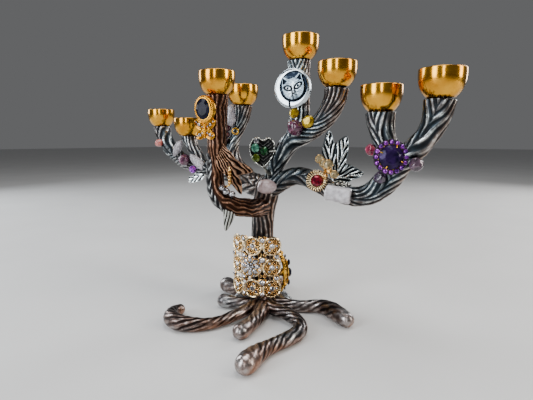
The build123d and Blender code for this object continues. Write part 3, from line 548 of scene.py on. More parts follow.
# painted reflections: the clear stones' colour runs at random from near-black to near-white, standing in for the
# flashes of their facets
RHINE_REFLECTIONS = stone("clear_rhinestone_painted_reflections", c4(0.10, 0.10, 0.11), c4(0.80, 0.78, 0.80), 0.03, 0.0, 0.92, 1300.0)
CHAMP = stone("champagne_crystal_mat", c4(0.22, 0.15, 0.06), c4(0.66, 0.54, 0.32), 0.05, 0.30, 0.35, 600.0)
YELLOW = stone("yellow_crystal_mat", c4(0.20, 0.11, 0.002), c4(0.60, 0.41, 0.010), 0.09, 0.25, 0.35, 420.0, ior=1.4)
GREEN1 = stone("dark_green_crystal", c4(0.002, 0.020, 0.008), c4(0.02, 0.14, 0.04), 0.04, 0.1, 0.4, 420.0, coat=0.3)
GREEN2 = stone("turquoise_green_crystal", c4(0.02, 0.15, 0.09), c4(0.16, 0.46, 0.32), 0.04, 0.1, 0.4, 420.0, coat=0.3)
GREEN3 = stone("olive_green_crystal", c4(0.018, 0.040, 0.002), c4(0.14, 0.20, 0.012), 0.04, 0.1, 0.4, 420.0, coat=0.3)
RUBY = stone("ruby_mat", c4(0.055, 0.0, 0.008), c4(0.40, 0.003, 0.03), 0.03, 0.15, 0.45, 520.0, coat=0.25)
GARNET = stone("garnet_mat", c4(0.022, 0.001, 0.006), c4(0.11, 0.006, 0.022), 0.08, 0.1, 0.2, 300.0, coat=0.35)
ROSE = stone("rose_bead_mat", c4(0.16, 0.012, 0.04), c4(0.42, 0.06, 0.12), 0.08, 0.2, 0.1, 320.0, coat=0.5)
CORAL = stone("coral_mat", c4(0.34, 0.06, 0.05), c4(0.62, 0.20, 0.17), 0.16, 0.0, 0.0, 420.0, coat=0.3, sub=0.1, bump_s=0.2)
VIOLET = stone("violet_crystal_mat", c4(0.045, 0.004, 0.14), c4(0.50, 0.06, 0.72), 0.03, 0.1, 0.6, 620.0, coat=0.3)
VIODARK = stone("dark_violet_stone", c4(0.004, 0.003, 0.014), c4(0.030, 0.012, 0.07), 0.12, 0.0, 0.25, 240.0, ior=1.4, spec=0.2)
MAUVE = stone("mauve_bead_mat", c4(0.035, 0.010, 0.024), c4(0.17, 0.05, 0.10), 0.10, 0.1, 0.15, 360.0, coat=0.4, bump_s=0.15)
SMOKY = stone("smoky_bead_mat", c4(0.035, 0.022, 0.034), c4(0.15, 0.09, 0.13), 0.08, 0.15, 0.2, 320.0, coat=0.4)
PLUM = stone("plum_bead_mat", c4(0.012, 0.007, 0.02), c4(0.06, 0.032, 0.075), 0.10, 0.0, 0.2, 320.0, coat=0.4)
PINKQ = stone("rose_quartz_mat", c4(0.36, 0.25, 0.24), c4(0.62, 0.50, 0.50), 0.22, 0.25, 0.0, 260.0, sub=0.25, coat=0.35, bump_s=0.3)
WHITEQ = stone("white_quartz_mat", c4(0.22, 0.20, 0.22), c4(0.55, 0.52, 0.56), 0.16, 0.35, 0.0, 300.0, sub=0.1, coat=0.4, bump_s=0.35)
QCYL = stone("milky_quartz_mat", c4(0.46, 0.43, 0.45), c4(0.80, 0.77, 0.80), 0.18, 0.22, 0.0, 300.0, sub=0.2, coat=0.4, bump_s=0.35)
DRUSY = stone("drusy_quartz_mat", c4(0.16, 0.14, 0.15), c4(0.62, 0.58, 0.61), 0.22, 0.1, 0.2, 800.0, sub=0.0, coat=0.3, bump_s=0.9)
ONYX = stone("onyx_mat", c4(0.004, 0.004, 0.008), c4(0.010, 0.010, 0.024), 0.12, 0.0, 0.0, 200.0, ior=1.4, spec=0.12)
SLOT = {"silver": "antique_silver", "copper": "copper_patina", "bright": "bright_silver", "gold": "gold_cup", "trim": "gold_trim"}

# ------------------------------------------------------------------ the castings
SEAT_Z = 14.0
KN, KN_R = (4.6, 0.4, 92.5), 10.4
TRUNK = [(-0.2, 0, SEAT_Z - 3, 11.2), (-0.2, 0, SEAT_Z, 10.6), (-0.15, 0, 20, 9.75), (-0.1, 0, 33.7, 8.98), (0, 0, 51.7, 8.83),
         (0.3, 0, 66.2, 8.76), (1.9, 0, 79.1, 8.99), (4.4, 0.2, 89.5, 9.57), (5.8, 0.2, 95.5, 8.8)]
RIGHT_LOWER = [(7.0, 0, 92.4, 7.64), (15.3, 0, 97.2, 7.46), (25.5, -1, 102.0, 6.75), (35.2, -2, 104.5, 6.51),
               (45.4, -3, 103.4, 6.62), (55.2, -4, 100.4, 6.46), (64.6, -4, 97.1, 6.33), (75.2, -4, 94.7, 6.43),
               (83.2, -3, 94.4, 6.51), (90.8, -2, 96.6, 7.01), (97.3, -1, 101.7, 7.62), (103.0, 0, 108.3, 7.8),
               (108.1, 0, 116.3, 7.55), (114.3, 0, 122.3, 7.2), (120.3, 0, 128.6, 6.77), (124.7, 0, 135.2, 6.94),
               (127.5, 0, 142.2, 7.78), (129.0, 0, 152.0, 8.8)]
RIGHT_LOWER_7 = [(106.4, 0, 110.0, 5.6), (104.2, 0, 114.6, 6.54), (101.4, 0, 120.3, 6.57), (98.6, 0, 127.3, 6.9),
                 (96.3, 0, 134.5, 7.69), (95.1, 0, 140.4, 8.53), (94.7, 0, 146.3, 9.11)]
RIGHT_UPPER = [(7.4, 0.2, 96.0, 6.0), (10.2, -0.2, 102.3, 6.03), (14.2, -1, 109.8, 6.08), (19.7, -2, 117.4, 6.55),
               (25.2, -2, 124.7, 7.02), (31.4, -2, 130.0, 7.3), (39.1, -2, 133.4, 7.11), (47.3, -2, 137.1, 6.96),
               (55.2, -2, 142.4, 7.01), (60.8, -2, 148.9, 7.14), (64.2, -2, 155.9, 7.5), (65.4, -2, 163.0, 8.0)]
RIGHT_UPPER_5 = [(28.0, -2, 126.6, 6.3), (32.8, -2, 132.2, 7.2), (35.3, -2, 139.4, 7.37), (36.3, -2, 148.1, 7.1),
                 (36.3, -2, 158.1, 6.99), (36.0, -2, 168.8, 7.03), (35.4, -2, 176.8, 7.41), (35.2, -2, 183.0, 8.1)]
LEFT_LOWER = [(3.0, 0.6, 91.6, 7.29), (-7.7, 2, 91.8, 7.26), (-19.5, 3, 94.4, 7.29), (-32.1, 3, 98.5, 7.04),
              (-44.2, 2, 102.9, 6.92), (-56.9, 1, 105.3, 6.9), (-66.2, 0, 106.0, 7.0), (-79.8, 0, 107.2, 6.82),
              (-94.0, 0, 110.0, 6.62), (-107.3, 0, 115.6, 6.57), (-117.9, 0, 122.5, 6.86), (-125.2, 0, 131.4, 7.6),
              (-129.3, 0, 142.6, 8.3)]
LEFT_LOWER_2 = [(-66.0, 0, 105.6, 5.6), (-74.1, 0, 112.1, 5.67), (-80.0, 0, 119.0, 5.54), (-85.3, 0, 126.0, 6.11),
                (-88.7, 0, 133.3, 7.3)]
LEFT_UPPER = [(1.2, 1.6, 96.6, 6.1), (-13.7, 5, 98.4, 6.1), (-23.5, 6, 101.9, 6.06), (-32.6, 6, 109.1, 5.82),
              (-38.6, 6, 118.8, 5.5), (-37.6, 7, 128.8, 4.7), (-33.4, 8, 138.2, 4.9), (-29.2, 8, 147.7, 6.5),
              (-28.0, 8, 157.4, 7.9)]
LEFT_UPPER_9 = [(-37.0, 6, 115.2, 4.6), (-41.2, 6, 120.4, 5.2), (-45.9, 5, 127.6, 5.23), (-50.5, 4, 137.1, 5.58),
                (-53.6, 4, 149.7, 6.43), (-54.4, 4, 166.5, 7.8)]
ARM = [(4.6, -5, 79.0, 7.3), (6.4, -16, 80.2, 7.07), (7.2, -26, 81.8, 6.92), (5.0, -34.4, 83.4, 6.77),
       (-1.0, -39.4, 86.6, 6.9), (-6.2, -40.8, 92.6, 6.9), (-8.6, -40.7, 100.4, 6.6), (-9.0, -40.2, 109.2, 6.51),
       (-8.0, -40, 119.3, 6.73), (-6.7, -40, 129.7, 7.02), (-6.3, -40, 139.9, 7.18), (-6.2, -40, 150.0, 7.42),
       (-6.0, -40, 160.0, 8.1)]
ROOTS = [
    [(4.4, -15, 5.3, 4.7), (9.0, -28.3, 5.6, 4.5), (8.3, -40.3, 5.2, 4.3), (6.0, -52.1, 4.5, 3.98), (2.0, -62.0, 4.6, 4.4),
     (-5.0, -69.6, 5.1, 5.3), (-13.6, -73.6, 5.6, 5.79), (-23.4, -71.6, 5.4, 5.6), (-30.0, -64.6, 4.7, 4.8), (-31.6, -58.0, 4.2, 4.2)],
    [(12, -13, 5.3, 4.8), (20.2, -25.0, 5.9, 5.2), (24.9, -35.8, 5.7, 5.1), (27.6, -47.0, 5.5, 5.37), (29.2, -54.6, 5.6, 5.71)],
    [(13, -9, 5.3, 4.8), (24.6, -14.6, 6.2, 5.0), (35.2, -14.6, 6.3, 5.0), (46.2, -17.2, 5.6, 4.9), (54.8, -23.6, 5.0, 5.0),
     (58.2, -33.0, 4.9, 5.1), (57.6, -41.9, 4.8, 4.88), (56.1, -50.8, 4.7, 4.71), (55.3, -59.7, 4.9, 5.0), (56.4, -69.0, 5.7, 6.0),
     (58.6, -78.6, 6.3, 6.7), (59.0, -80.8, 6.2, 6.5)],
    [(10, -4, 5.3, 4.7), (20.5, -3.6, 6.2, 4.9), (28.6, 0.6, 5.5, 4.58), (35.4, 6.4, 4.7, 4.56), (42.0, 12.2, 4.8, 5.0),
     (50.0, 14.6, 5.3, 5.8), (59.0, 11.9, 5.8, 6.3), (67.6, 8.0, 5.8, 6.0), (72.6, 6.4, 5.4, 5.5)],
    [(3, -11, 5.0, 4.5), (-3.2, -18.6, 4.9, 4.5), (-9.3, -22.8, 4.8, 4.8), (-16.4, -26.6, 5.4, 5.6)],
    [(-2, -6, 5.0, 4.5), (-11.5, -5.8, 4.9, 4.4), (-22.5, -3.7, 4.9, 5.0), (-38.2, -2.6, 6.4, 6.6)],
    [(-4, 8, 6.2, 5.0), (-9.4, 18.5, 5.6, 4.8), (-14.0, 27.5, 4.9, 4.8), (-16.4, 36.0, 5.1, 5.3)],
]
VOX = 0.5


def arm_strip(P):
    """Where the silver strip ends round the arm (as a cosine), and how strongly it shows there."""
    k = sstep(126.0, 112.0, P[:, 2]) * sstep(-30.0, -37.0, P[:, 1])
    return -0.98 + 0.76 * k, k


def casting(name, limbs, mat, node, kind, extra=None, flat_end=True, voxel=None, copper=0.3, lam=9.5, depth=0.95):
    """Limbs fused by a voxel remesh, then cut with bark grooves that follow each limb's own axis."""
    S = Soup()
    lines = []
    for st in limbs:
        p = resample(st, 1.0)
        if flat_end:                                   # finish level under the cup
            p = np.vstack([p])
        v, f = tube(p[:, :3], p[:, 3], 36, round_end=not flat_end)
        if flat_end:
            top = st[-1][2]
            v[:, 2] = np.where((v[:, 2] > top - 0.02) & (np.linalg.norm(v[:, :2] - p[-1, :2], axis=1) < 12), np.minimum(v[:, 2], top - 0.02), v[:, 2])
        S.add(v, f)
        q = resample(st, 0.8)
        lines.append(q)
    if extra:
        for v, f in extra:
            S.add(v, f)
    me = bpy.data.meshes.new("tmp")
    me.from_pydata([tuple(x) for x in S.v], [], S.f)
    ob = bpy.data.objects.new("tmp", me)
    bpy.context.collection.objects.link(ob)
    md = ob.modifiers.new("r", "REMESH")
    md.mode = "VOXEL"
    md.voxel_size = voxel or VOX
    sm = ob.modifiers.new("s", "SMOOTH")
    sm.factor = 0.5
    sm.iterations = 4
    dg = bpy.context.evaluated_depsgraph_get()
    ev = ob.evaluated_get(dg)
    m2 = bpy.data.meshes.new_from_object(ev)
    n = len(m2.vertices)
    V = np.empty(n * 3); m2.vertices.foreach_get("co", V); V = V.reshape(-1, 3)
    N = np.empty(n * 3); m2.vertices.foreach_get("normal", N); N = N.reshape(-1, 3)
    F = [tuple(p.vertices) for p in m2.polygons]
    bpy.data.objects.remove(ob)
    bpy.data.meshes.remove(m2)
    bpy.data.meshes.remove(me)
    best = np.full(n, 1e9)
    h = np.zeros(n)
    G = np.zeros(n)
    C = np.zeros((n, 3))
    for li, q in enumerate(lines):
        t, x, y = frames(q[:, :3], (0, -1, 0.05))
        ref = np.array([0.30, -0.95, 0.12]) if kind != "root" else np.array([0, 0, 1.0])
        s_len = np.concatenate([[0], np.cumsum(np.linalg.norm(np.diff(q[:, :3], axis=0), axis=1))])
        for c0 in range(0, n, 20000):
            c1 = min(n, c0 + 20000)
            P = V[c0:c1]
            d2 = ((P[:, None, :] - q[None, :, :3]) ** 2).sum(-1)
            dd = np.sqrt(d2) - q[None, :, 3]
            i = dd.argmin(axis=1)
            dmin = dd[np.arange(len(P)), i]
            w = P - q[i, :3]
            al = (w * t[i]).sum(1)
            s = s_len[i] + al
            w = w - al[:, None] * t[i]
            rx = ref[None, :] - (t[i] * ref).sum(1)[:, None] * t[i]
            rx /= np.linalg.norm(rx, axis=1)[:, None] + 1e-9
            ry = np.cross(t[i], rx)
            th = np.arctan2((w * ry).sum(1), (w * rx).sum(1))
            rho = np.linalg.norm(w, axis=1)
            r = q[i, 3]
            cen = q[i, :3] + al[:, None] * t[i]
            wb = wob(P, 0.16, li * 1.3 + 0.4)
            if kind == "branch":
                ang = 24 + 5 * np.sin(s / 17.0 + li * 2.0)
                mid_th = 0.35 * np.sin(s / 13.0 + li * 1.7 + 0.6)
                th = np.arctan2(np.sin(th - mid_th), np.cos(th - mid_th))
                half = np.where(th > 0, 0.5, 0.0)           # the two rows of veins are out of step
                ph = (s - np.abs(th) * r / np.tan(np.radians(ang))) / lam + 0.34 * np.sin(s / 9.0 + li) + 0.62 * wb + half
                ph2 = th * 0
            elif kind == "arm":
                ph = 15 * th / (2 * math.pi) + s / 34.0 + 0.75 * wb + 0.45 * np.sin(s / 11.0) + 0.28 * wob(P, 0.5, 3.0)
                wa = (w @ ACROSS) / (rho + 1e-9)          # the strip of short slanted veins down the left edge
                thr, on_strip = arm_strip(P)
                phs = (s - np.abs(wa + 0.62) * r * 1.8) / 5.5 + 0.35 * wb
                ph = np.where(wa < thr, phs, ph)
            elif kind == "trunk":
                ph = 13 * th / (2 * math.pi) + s / 46.0 + 0.50 * wb + 0.15 * wob(P, 0.5, 3.0)
            else:
                run = np.clip(s - 10.0, 0, None) ** 1.5 / (np.clip(s - 10.0, 0, None) ** 0.5 + 3.0)
                ph = 8 * th / (2 * math.pi) + run / 6.0 + 0.25 * np.sin(s / 8.0 + li) + 0.45 * wb + 0.15 * wob(P, 0.6, li)
            fr = ph - np.floor(ph)
            dist = np.abs(fr - 0.5) * 2                 # 1 in the groove, 0 on the ridge's top
            g = sstep(0.12, 0.98, dist) if kind in ("branch", "root") else sstep(0.02, 0.84, dist)
            if kind == "arm":
                g = np.clip(g + 0.9 * on_strip * np.exp(-((wa - thr) / 0.07) ** 2), 0, 1)
            amp = 0.82 + 0.42 * wob(P, 0.30, 2.0 + li)
            if kind == "branch":                        # fine second set of veins between the main ridges
                ph3 = ph * 2.0 + 0.5 * wob(P, 0.5, 1.0)
                f3 = np.abs(ph3 - np.floor(ph3) - 0.5) * 2
                g3 = sstep(0.70, 1.0, f3) * 0.30
                mid = sstep(0.75, 0.0, np.abs(th) * r) * 0.3
                g = np.clip(g + g3 * (1 - g) + mid * (1 - g), 0, 1)
            else:
                ph3 = ph * 2.0 + 0.3 * wob(P, 0.5, 3.0)
                f3 = np.abs(ph3 - np.floor(ph3) - 0.5) * 2
                g = np.clip(g + sstep(0.72, 1.0, f3) * 0.30 * (1 - g), 0, 1)
            if kind == "root":
                fade = sstep(2.0, 12.0, s_len[-1] - s + 2.5 * wob(P, 0.3, 9.0)) * sstep(2.0, 6.0, P[:, 2] + 1.5)
                g = g * (0.10 + 0.80 * fade * np.clip(0.75 + 0.5 * wob(P, 0.22, 4.0 + li), 0.25, 1.0))
            g = np.clip(g * np.clip(amp, 0.40, 1.1) + 0.08 + 0.14 * wob(P, 0.45, 6.0 + li) + 0.08 * wob(P, 1.3, 2.0), 0, 1)
            hit = dmin < best[c0:c1]
            idx = np.arange(c0, c1)[hit]
            best[idx] = dmin[hit]
            G[idx] = g[hit]
            C[idx] = cen[hit]
            h[idx] = (-depth * g * np.clip(rho / r, 0, 1) ** 2)[hit]
    W = V - C
    L = np.linalg.norm(W, axis=1) + 1e-9
    if kind == "root":                                   # the hub's skirt: ridges that run out from the trunk
        hr = np.hypot(V[:, 0] + 0.2, V[:, 1])
        on = (best > 0.6)
        th = np.arctan2(V[:, 1], V[:, 0] + 0.2)
        ph = 44 * th / (2 * math.pi) + 0.35 * wob(V, 0.2, 5.0)
        g = sstep(0.45, 0.97, np.abs(ph - np.floor(ph) - 0.5) * 2) * sstep(9.5, 12.0, hr)
        G = np.where(on, g, G)
        h = np.where(on, 0.0, h)
        V2 = V + W / L[:, None] * h[:, None]
        V2 = np.where(on[:, None], V - N * (0.75 * g)[:, None], V2)
        V2[:, 2] = np.maximum(V2[:, 2], 0.0)
    else:
        V2 = V + W / L[:, None] * h[:, None]
    # copper patina in soft random patches, plus painted shade: a darker copper tone on the side of each limb that faces
    # down and to the right
    side = N @ unit(ACROSS * 0.75 - UP * 0.5 + FACE * 0.1)
    copper_and_side_shade = np.clip(copper + 0.60 * sstep(0.15, 0.85, side) * (0.5 + copper) + 0.35 * wob(V, 0.09, 1.0), 0, 1)
    if kind == "arm":                                    # the arm is brown, with a silver strip down its left edge
        thr, on_strip = arm_strip(V)
        copper_and_side_shade = np.clip(sstep(-0.12, 0.12, N @ ACROSS - thr + 0.10 * wob(V, 0.14, 2.0)), 0, 1)
    if kind == "root":
        copper_and_side_shade = np.where(on, copper_and_side_shade * 0.25, copper_and_side_shade)
    # hammered unevenness
    V2 = V2 + N * (0.10 * wob(V, 0.9, 0.7))[:, None]
    if kind == "root":
        V2[:, 2] = np.maximum(V2[:, 2], 0.0)
    return build(name, V2, F, mat, node, True, {"groove_and_shade": G, "copper": copper_and_side_shade})


ballk = sphere(KN, KN_R * 0.94, 36, 24)
hub_prof = arc_profile([(0.0, 1.6), (22.0, 1.6), (23.4, 3.2), (21.0, 6.1), (18.4, 7.0), (14.2, 8.4), (11.8, 10.8), (10.9, SEAT_Z - 0.3), (0.0, SEAT_Z - 0.3)], 4)
casting("trunk_bark", [TRUNK], SILVER, "trunk", "trunk", extra=[ballk], flat_end=False, copper=0.30, depth=0.75)
casting("right_lower_bark", [RIGHT_LOWER, RIGHT_LOWER_7], SILVER, "branch_right_lower", "branch", copper=0.10)
casting("right_upper_bark", [RIGHT_UPPER, RIGHT_UPPER_5], SILVER, "branch_right_upper", "branch", copper=0.10)
casting("left_lower_bark", [LEFT_LOWER, LEFT_LOWER_2], SILVER, "branch_left_lower", "branch", copper=0.15)
casting("left_upper_bark", [LEFT_UPPER, LEFT_UPPER_9], SILVER, "branch_left_upper", "branch", copper=0.20)
casting("front_arm_bark", [ARM], ARMMAT, "front_arm", "arm", copper=0.45, depth=0.65)
casting("root_base_bark", ROOTS, ROOTM, "root_base", "root", extra=[lathe(Pl((-0.2, 0, 0), UP, up=np.array([0, 1.0, 0])), hub_prof, 72)],
        flat_end=False, copper=0.45, depth=0.6)

# ------------------------------------------------------------------ candle cups
CUPS = {1: (-129.5, 0.0, 142.6), 2: (-89.3, 0.0, 133.3), 3: (-5.6, -40.0, 160.0), 4: (-28.2, 8.0, 157.4), 5: (36.2, -2.0, 183.0),
        6: (65.2, -2.0, 163.0), 7: (94.7, 0.0, 146.3), 8: (129.1, 0.0, 152.0), 9: (-54.4, 4.0, 166.5)}
OUT = arc_profile([(0.0, 0.0), (6.3, 0.0), (7.9, 0.85), (9.3, 2.3), (10.6, 4.2), (11.6, 6.6), (12.15, 9.2), (12.38, 11.8), (12.38, 15.05)], 6)
LIP = [(12.34, 15.25), (12.22, 15.42), (12.0, 15.5), (11.78, 15.42), (11.62, 15.2)]
IN = arc_profile([(11.5, 14.8), (11.45, 12.6), (10.7, 10.7), (9.0, 9.7), (6.2, 9.25), (5.35, 8.9)], 5) + [(5.25, 8.6), (5.25, 2.05), (3.7, 2.0), (0.0, 2.0)]
for i, (x, y, z) in CUPS.items():
    pl = Pl((x, y, z + 0.02), UP, up=np.array([0, 1.0, 0]))
    S = Soup()
    v, f = lathe(pl, OUT + LIP + IN, 96)
    rr = np.hypot(v[:, 0] - x, v[:, 1] - y)
    # painted shade: the underside of the base and the inside of the candle socket are darkened through the groove value
    g = sstep(8.6, 6.4, rr) * (v[:, 2] < z + 2.4) * 0.8 + (rr < 5.4) * (v[:, 2] > z + 1) * (v[:, 2] < z + 8.4) * 0.5
    S.add(v, f, g)
    S.make("candle_cup_%d" % i, GOLD, "cup_%d" % i, angle=60)

# ------------------------------------------------------------------ leaves and other stamped pieces


def leaf_fun(p0, p1, w, lam=2.2, ang=48, rim=0.5, vein=0.55, rib=0.45):
    """Height and groove of a leaf with a middle rib and slanting veins, from p0 to p1."""
    p0, p1 = np.array(p0, float), np.array(p1, float)
    L = np.linalg.norm(p1 - p0)
    ax = (p1 - p0) / L
    nx = np.array([-ax[1], ax[0]])

    def fun(uv, ed):
        a = (uv - p0) @ ax
        b = (uv - p0) @ nx
        ph = (a - np.abs(b) / math.tan(math.radians(ang))) / lam
        d = np.abs(ph - np.floor(ph) - 0.5) * 2
        g = sstep(0.35, 0.95, d)
        g = g * sstep(0.25, 0.8, ed) * sstep(0.15, 0.55, np.abs(b))
        h = 0.9 - vein * g + rib * sstep(0.8, 0.0, np.abs(b)) * sstep(0, 0.18 * L, L - a + 1) + 0.25 * sstep(1.0, 0.3, ed) - 0.55 * sstep(0.35, 0.0, ed)
        return h, g
    return fun


def leaf_outline(u0, v0, u1, v1, w, n=14, bulge=0.85):
    l = math.hypot(u1 - u0, v1 - v0)
    a = math.atan2(v1 - v0, u1 - u0)
    up_, dn = [], []
    for i in range(1, n):
        t = i / n
        hh = w / 2 * math.sin(math.pi * t ** bulge)
        up_.append((l * t, hh))
        dn.append((l * t, -hh))
    pts = [(0, 0)] + dn + [(l, 0)] + up_[::-1]
    return [(u0 + x * math.cos(a) - y * math.sin(a), v0 + x * math.sin(a) + y * math.cos(a)) for x, y in pts]


def stalk(S, pts, r, seg=10, g=0.2):
    v, f = tube(resample([(*p, r) for p in pts], 0.6)[:, :3], r, seg, round_end=True, round_start=True)
    S.add(v, f, g)


# heart-shaped leaf with green stones
HL_N = (0.45, -0.89, 0.0)
hl = Pl((8.6, -9.6, 121.3), HL_N)
HEART = [(1.2, -11.2), (-3.5, -9.6), (-7.6, -5.6), (-9.6, 0.0), (-9.2, 5.6), (-6.4, 9.6), (-2.8, 10.4), (0.6, 8.4), (4.2, 10.2),
         (8.0, 8.2), (9.6, 3.6), (8.8, -1.6), (6.0, -6.6)]
ho = smooth_outline(HEART, 4)


def heart_h(uv, ed):
    a = uv[:, 1]
    b = uv[:, 0] - 0.6
    ph = (np.abs(b) * 0.8 - a) / 2.6
    d = np.abs(ph - np.floor(ph) - 0.5) * 2
    g = (0.35 + 0.6 * sstep(0.10, 0.5, d)) * sstep(0.6, 1.3, ed)
    g = np.maximum(g, 0.9 * np.exp(-((ed - 1.6) / 0.35) ** 2))
    return 0.8 - 0.5 * g + 0.35 * sstep(0.8, 0, np.abs(b)) - 0.5 * sstep(0.3, 0, ed), g


S = Soup()
S.add(*relief(hl, ho, heart_h, 0.8, 0.42, lambda uv: 0.012 * (uv[:, 0] ** 2 + uv[:, 1] ** 2) - 0.4))
stalk(S, [(9.4, -9.3, 111.4), (10.8, -8.4, 108.0), (12.4, -6.6, 104.6)], 1.3)
stalk(S, [(14.6, -8.2, 121.5), (17.6, -7.2, 121.6), (20.5, -5.4, 120.6)], 1.1)
S.make("heart_leaf_look", DARKLEAF, "heart_leaf")
S = Soup()
for (u, v_, r), mi in zip([(-5.2, 2.6, 3.2), (-4.6, -4.6, 3.1), (1.9, 0.4, 3.1), (-4.4, 7.6, 2.0)], (1, 2, 0, 3)):
    S.add(*brilliant(Pl(hl.at(u, v_, 1.3), HL_N), r, 0.42, 0.45, 8), 0.0, mi)
S.make("green_stones_look", [GREEN1, GREEN2, GREEN3, RHINE_REFLECTIONS], "green_stones", smooth=False)

# leaf spray on the right branch: one stamped leaf of three lobes
sp = Pl((64.2, -1.1, 108.8), (0.62, -0.78, 0.0))
SPRAY = [(-1.0, -8.6), (6.0, -8.8), (12.2, -5.3), (16.8, -3.6), (19.5, -0.6), (14.4, 2.8), (10.5, 4.8), (7.8, 6.1), (8.8, 11.0),
         (9.2, 16.2), (9.0, 21.0), (7.8, 23.4), (5.2, 22.6), (2.4, 20.4), (-0.2, 19.1), (-1.2, 22.6), (-2.6, 26.2), (-4.4, 27.2),
         (-6.1, 23.8), (-7.4, 18.0), (-8.4, 12.5), (-6.2, 7.0), (-4.0, 1.0), (-2.6, -4.0)]
RIBS = [((-1.8, -6.0), (-4.6, 27.0)), ((0.4, -6.0), (7.6, 23.0)), ((0.0, -4.5), (19.4, -0.8))]


def spray_h(uv, ed):
    best = np.full(len(uv), 1e9)
    g = np.zeros(len(uv))
    h = np.zeros(len(uv))
    for k, (p0, p1) in enumerate(RIBS):
        p0, p1 = np.array(p0), np.array(p1)
        ax = (p1 - p0) / np.linalg.norm(p1 - p0)
        a = (uv - p0) @ ax
        b = (uv - p0) @ np.array([-ax[1], ax[0]])
        d = sd_seg(uv, p0, p1)
        ph = (a - np.abs(b) / math.tan(math.radians(17))) / 8.6 + 0.07 * np.sin(a * 0.5 + k) + np.where(b > 0, 0.45, 0.0)
        q = sstep(0.18, 0.90, np.abs(ph - np.floor(ph) - 0.5) * 2)
        q = np.maximum(q * sstep(0.1, 0.5, np.abs(b)), 0.0)
        hit = d < best
        best = np.where(hit, d, best)
        g = np.where(hit, q, g)
        h = np.where(hit, 0.9 - 0.75 * q + 0.35 * sstep(0.7, 0.0, np.abs(b)) - 0.05 * d, h)
    rim = sstep(1.1, 0.55, ed)
    g = g * (1 - 0.8 * rim) + 0.15 * rim
    return h * (1 - rim) + 1.05 * rim - 0.6 * sstep(0.3, 0, ed), np.clip(g + 0.35 * sstep(0.45, 0.0, ed), 0, 1)


def sd_seg(uv, a, b):
    a, b = np.array(a, float), np.array(b, float)
    ab = b - a
    t = np.clip(((uv - a) @ ab) / (ab @ ab), 0, 1)
    return np.linalg.norm(uv - (a + t[:, None] * ab), axis=1)


S = Soup()
S.add(*relief(sp, smooth_outline(SPRAY, 3), spray_h, 0.7, 0.30,
              lambda uv: 0.35 * np.sin(uv[:, 0] * 0.42 + uv[:, 1] * 0.05) - 0.0015 * (uv[:, 1] - 8) ** 2))
stalk(S, [(64.4, -1.4, 107.4), (64.6, -2.2, 104.4), (65.0, -3.4, 101.5)], 1.7)
S.make("leaf_spray_look", BRIGHT, "leaf_spray")
dl = Pl((73.6, -7.4, 100.6), (0.60, -0.72, 0.35))
S = Soup()
S.add(*relief(dl, leaf_outline(-7.2, 1.6, 6.6, 0.6, 5.2), leaf_fun((-7.2, 1.6), (6.6, 0.6), 5.2, 2.6, 32), 0.7, 0.34))
S.make("dark_leaf_look", DARKLEAF, "dark_leaf")

# small leaf on the left branch
sl = Pl((-71.5, -5.2, 97.0), (0.5, -0.85, 0.0))
so = smooth_outline([(-7.6, -4.6), (-8.0, 0.6), (-4.0, 2.2), (1.0, 5.6), (7.0, 5.0), (6.6, 1.0), (4.0, -2.0), (0.6, -3.6)], 3)
S = Soup()
S.add(*relief(sl, so, leaf_fun((7.0, 4.0), (-7.8, -2.5), 7, 5.2, 26, vein=0.3, rib=0.25), 0.6, 0.36))
S.make("small_leaf_look", BRIGHT, "small_leaf")

# copper two-lobed leaf in the crook of the arm, drop leaf below
lp = Pl((0.0, -40.6, 116.0), (0.656, -0.755, 0.0))
ARMLEAF = [(-2.2, 18.4), (-0.6, 12.8), (2.0, 8.6), (5.5, 5.0), (9.8, -0.4), (16.9, -4.0), (20.6, -7.8), (15.8, -9.6), (10.8, -10.6),
           (12.4, -15.0), (12.2, -24.4), (6.4, -18.0), (1.4, -10.4), (-2.4, -7.2), (-5.0, -2.0), (-5.0, 8.0)]


def armleaf_h(uv, ed):
    d1 = sd_seg(uv, (0.0, 4.0), (20.0, -7.4))                        # rib to the outer tip
    d2 = sd_seg(uv, (0.0, 4.0), (12.0, -23.6))                       # rib to the lower tip
    side = np.minimum(d1, d2)
    fan = np.arctan2(uv[:, 1] - 19.0, uv[:, 0] + 12.0)
    ph = fan * 12.5 + 0.35 * np.sin(uv[:, 0] * 0.45 + uv[:, 1] * 0.2) + 0.12 * np.sin(uv[:, 1] * 1.1)
    d = np.abs(ph - np.floor(ph) - 0.5) * 2
    g = sstep(0.3, 0.95, d) * sstep(0.2, 0.9, ed)
    return 0.9 - 0.75 * g + 0.5 * sstep(0.8, 0.0, side) - 0.5 * sstep(0.4, 0, ed), g


S = Soup()
S.add(*relief(lp, smooth_outline(ARMLEAF, 3), armleaf_h, 0.9, 0.36, lambda uv: -0.010 * ((uv[:, 0] - 4) ** 2 + (uv[:, 1] + 5) ** 2) * 0.6 + 0.2))
ob = S.make("arm_leaf_look", COPPER, "arm_leaf")
dp = Pl((2.6, -41.2, 80.6), (0.656, -0.755, 0.0))
S = Soup()
do = smooth_outline([(-1.6, 4.8), (-1.8, -4.0), (-1.6, -11.6), (0.0, -14.0), (3.2, -9.6), (6.0, -3.6), (6.9, 2.0), (6.8, 4.8)], 3)


def drop_h(uv, ed):
    x = uv[:, 0] - 0.22 * (uv[:, 1] + 14.0)
    ph = x / 2.1 + 0.1 * np.sin(uv[:, 1] * 0.5)
    g = sstep(0.35, 0.95, np.abs(ph - np.floor(ph) - 0.5) * 2) * sstep(0.2, 0.9, ed) * 0.8
    return 1.1 + 0.9 * sstep(0.0, 3.0, ed) - 0.35 * g - 0.5 * sstep(0.4, 0, ed), g


S.add(*relief(dp, do, drop_h, 1.0, 0.34))
S.make("drop_leaf_look", DARKLEAF, "drop_leaf")

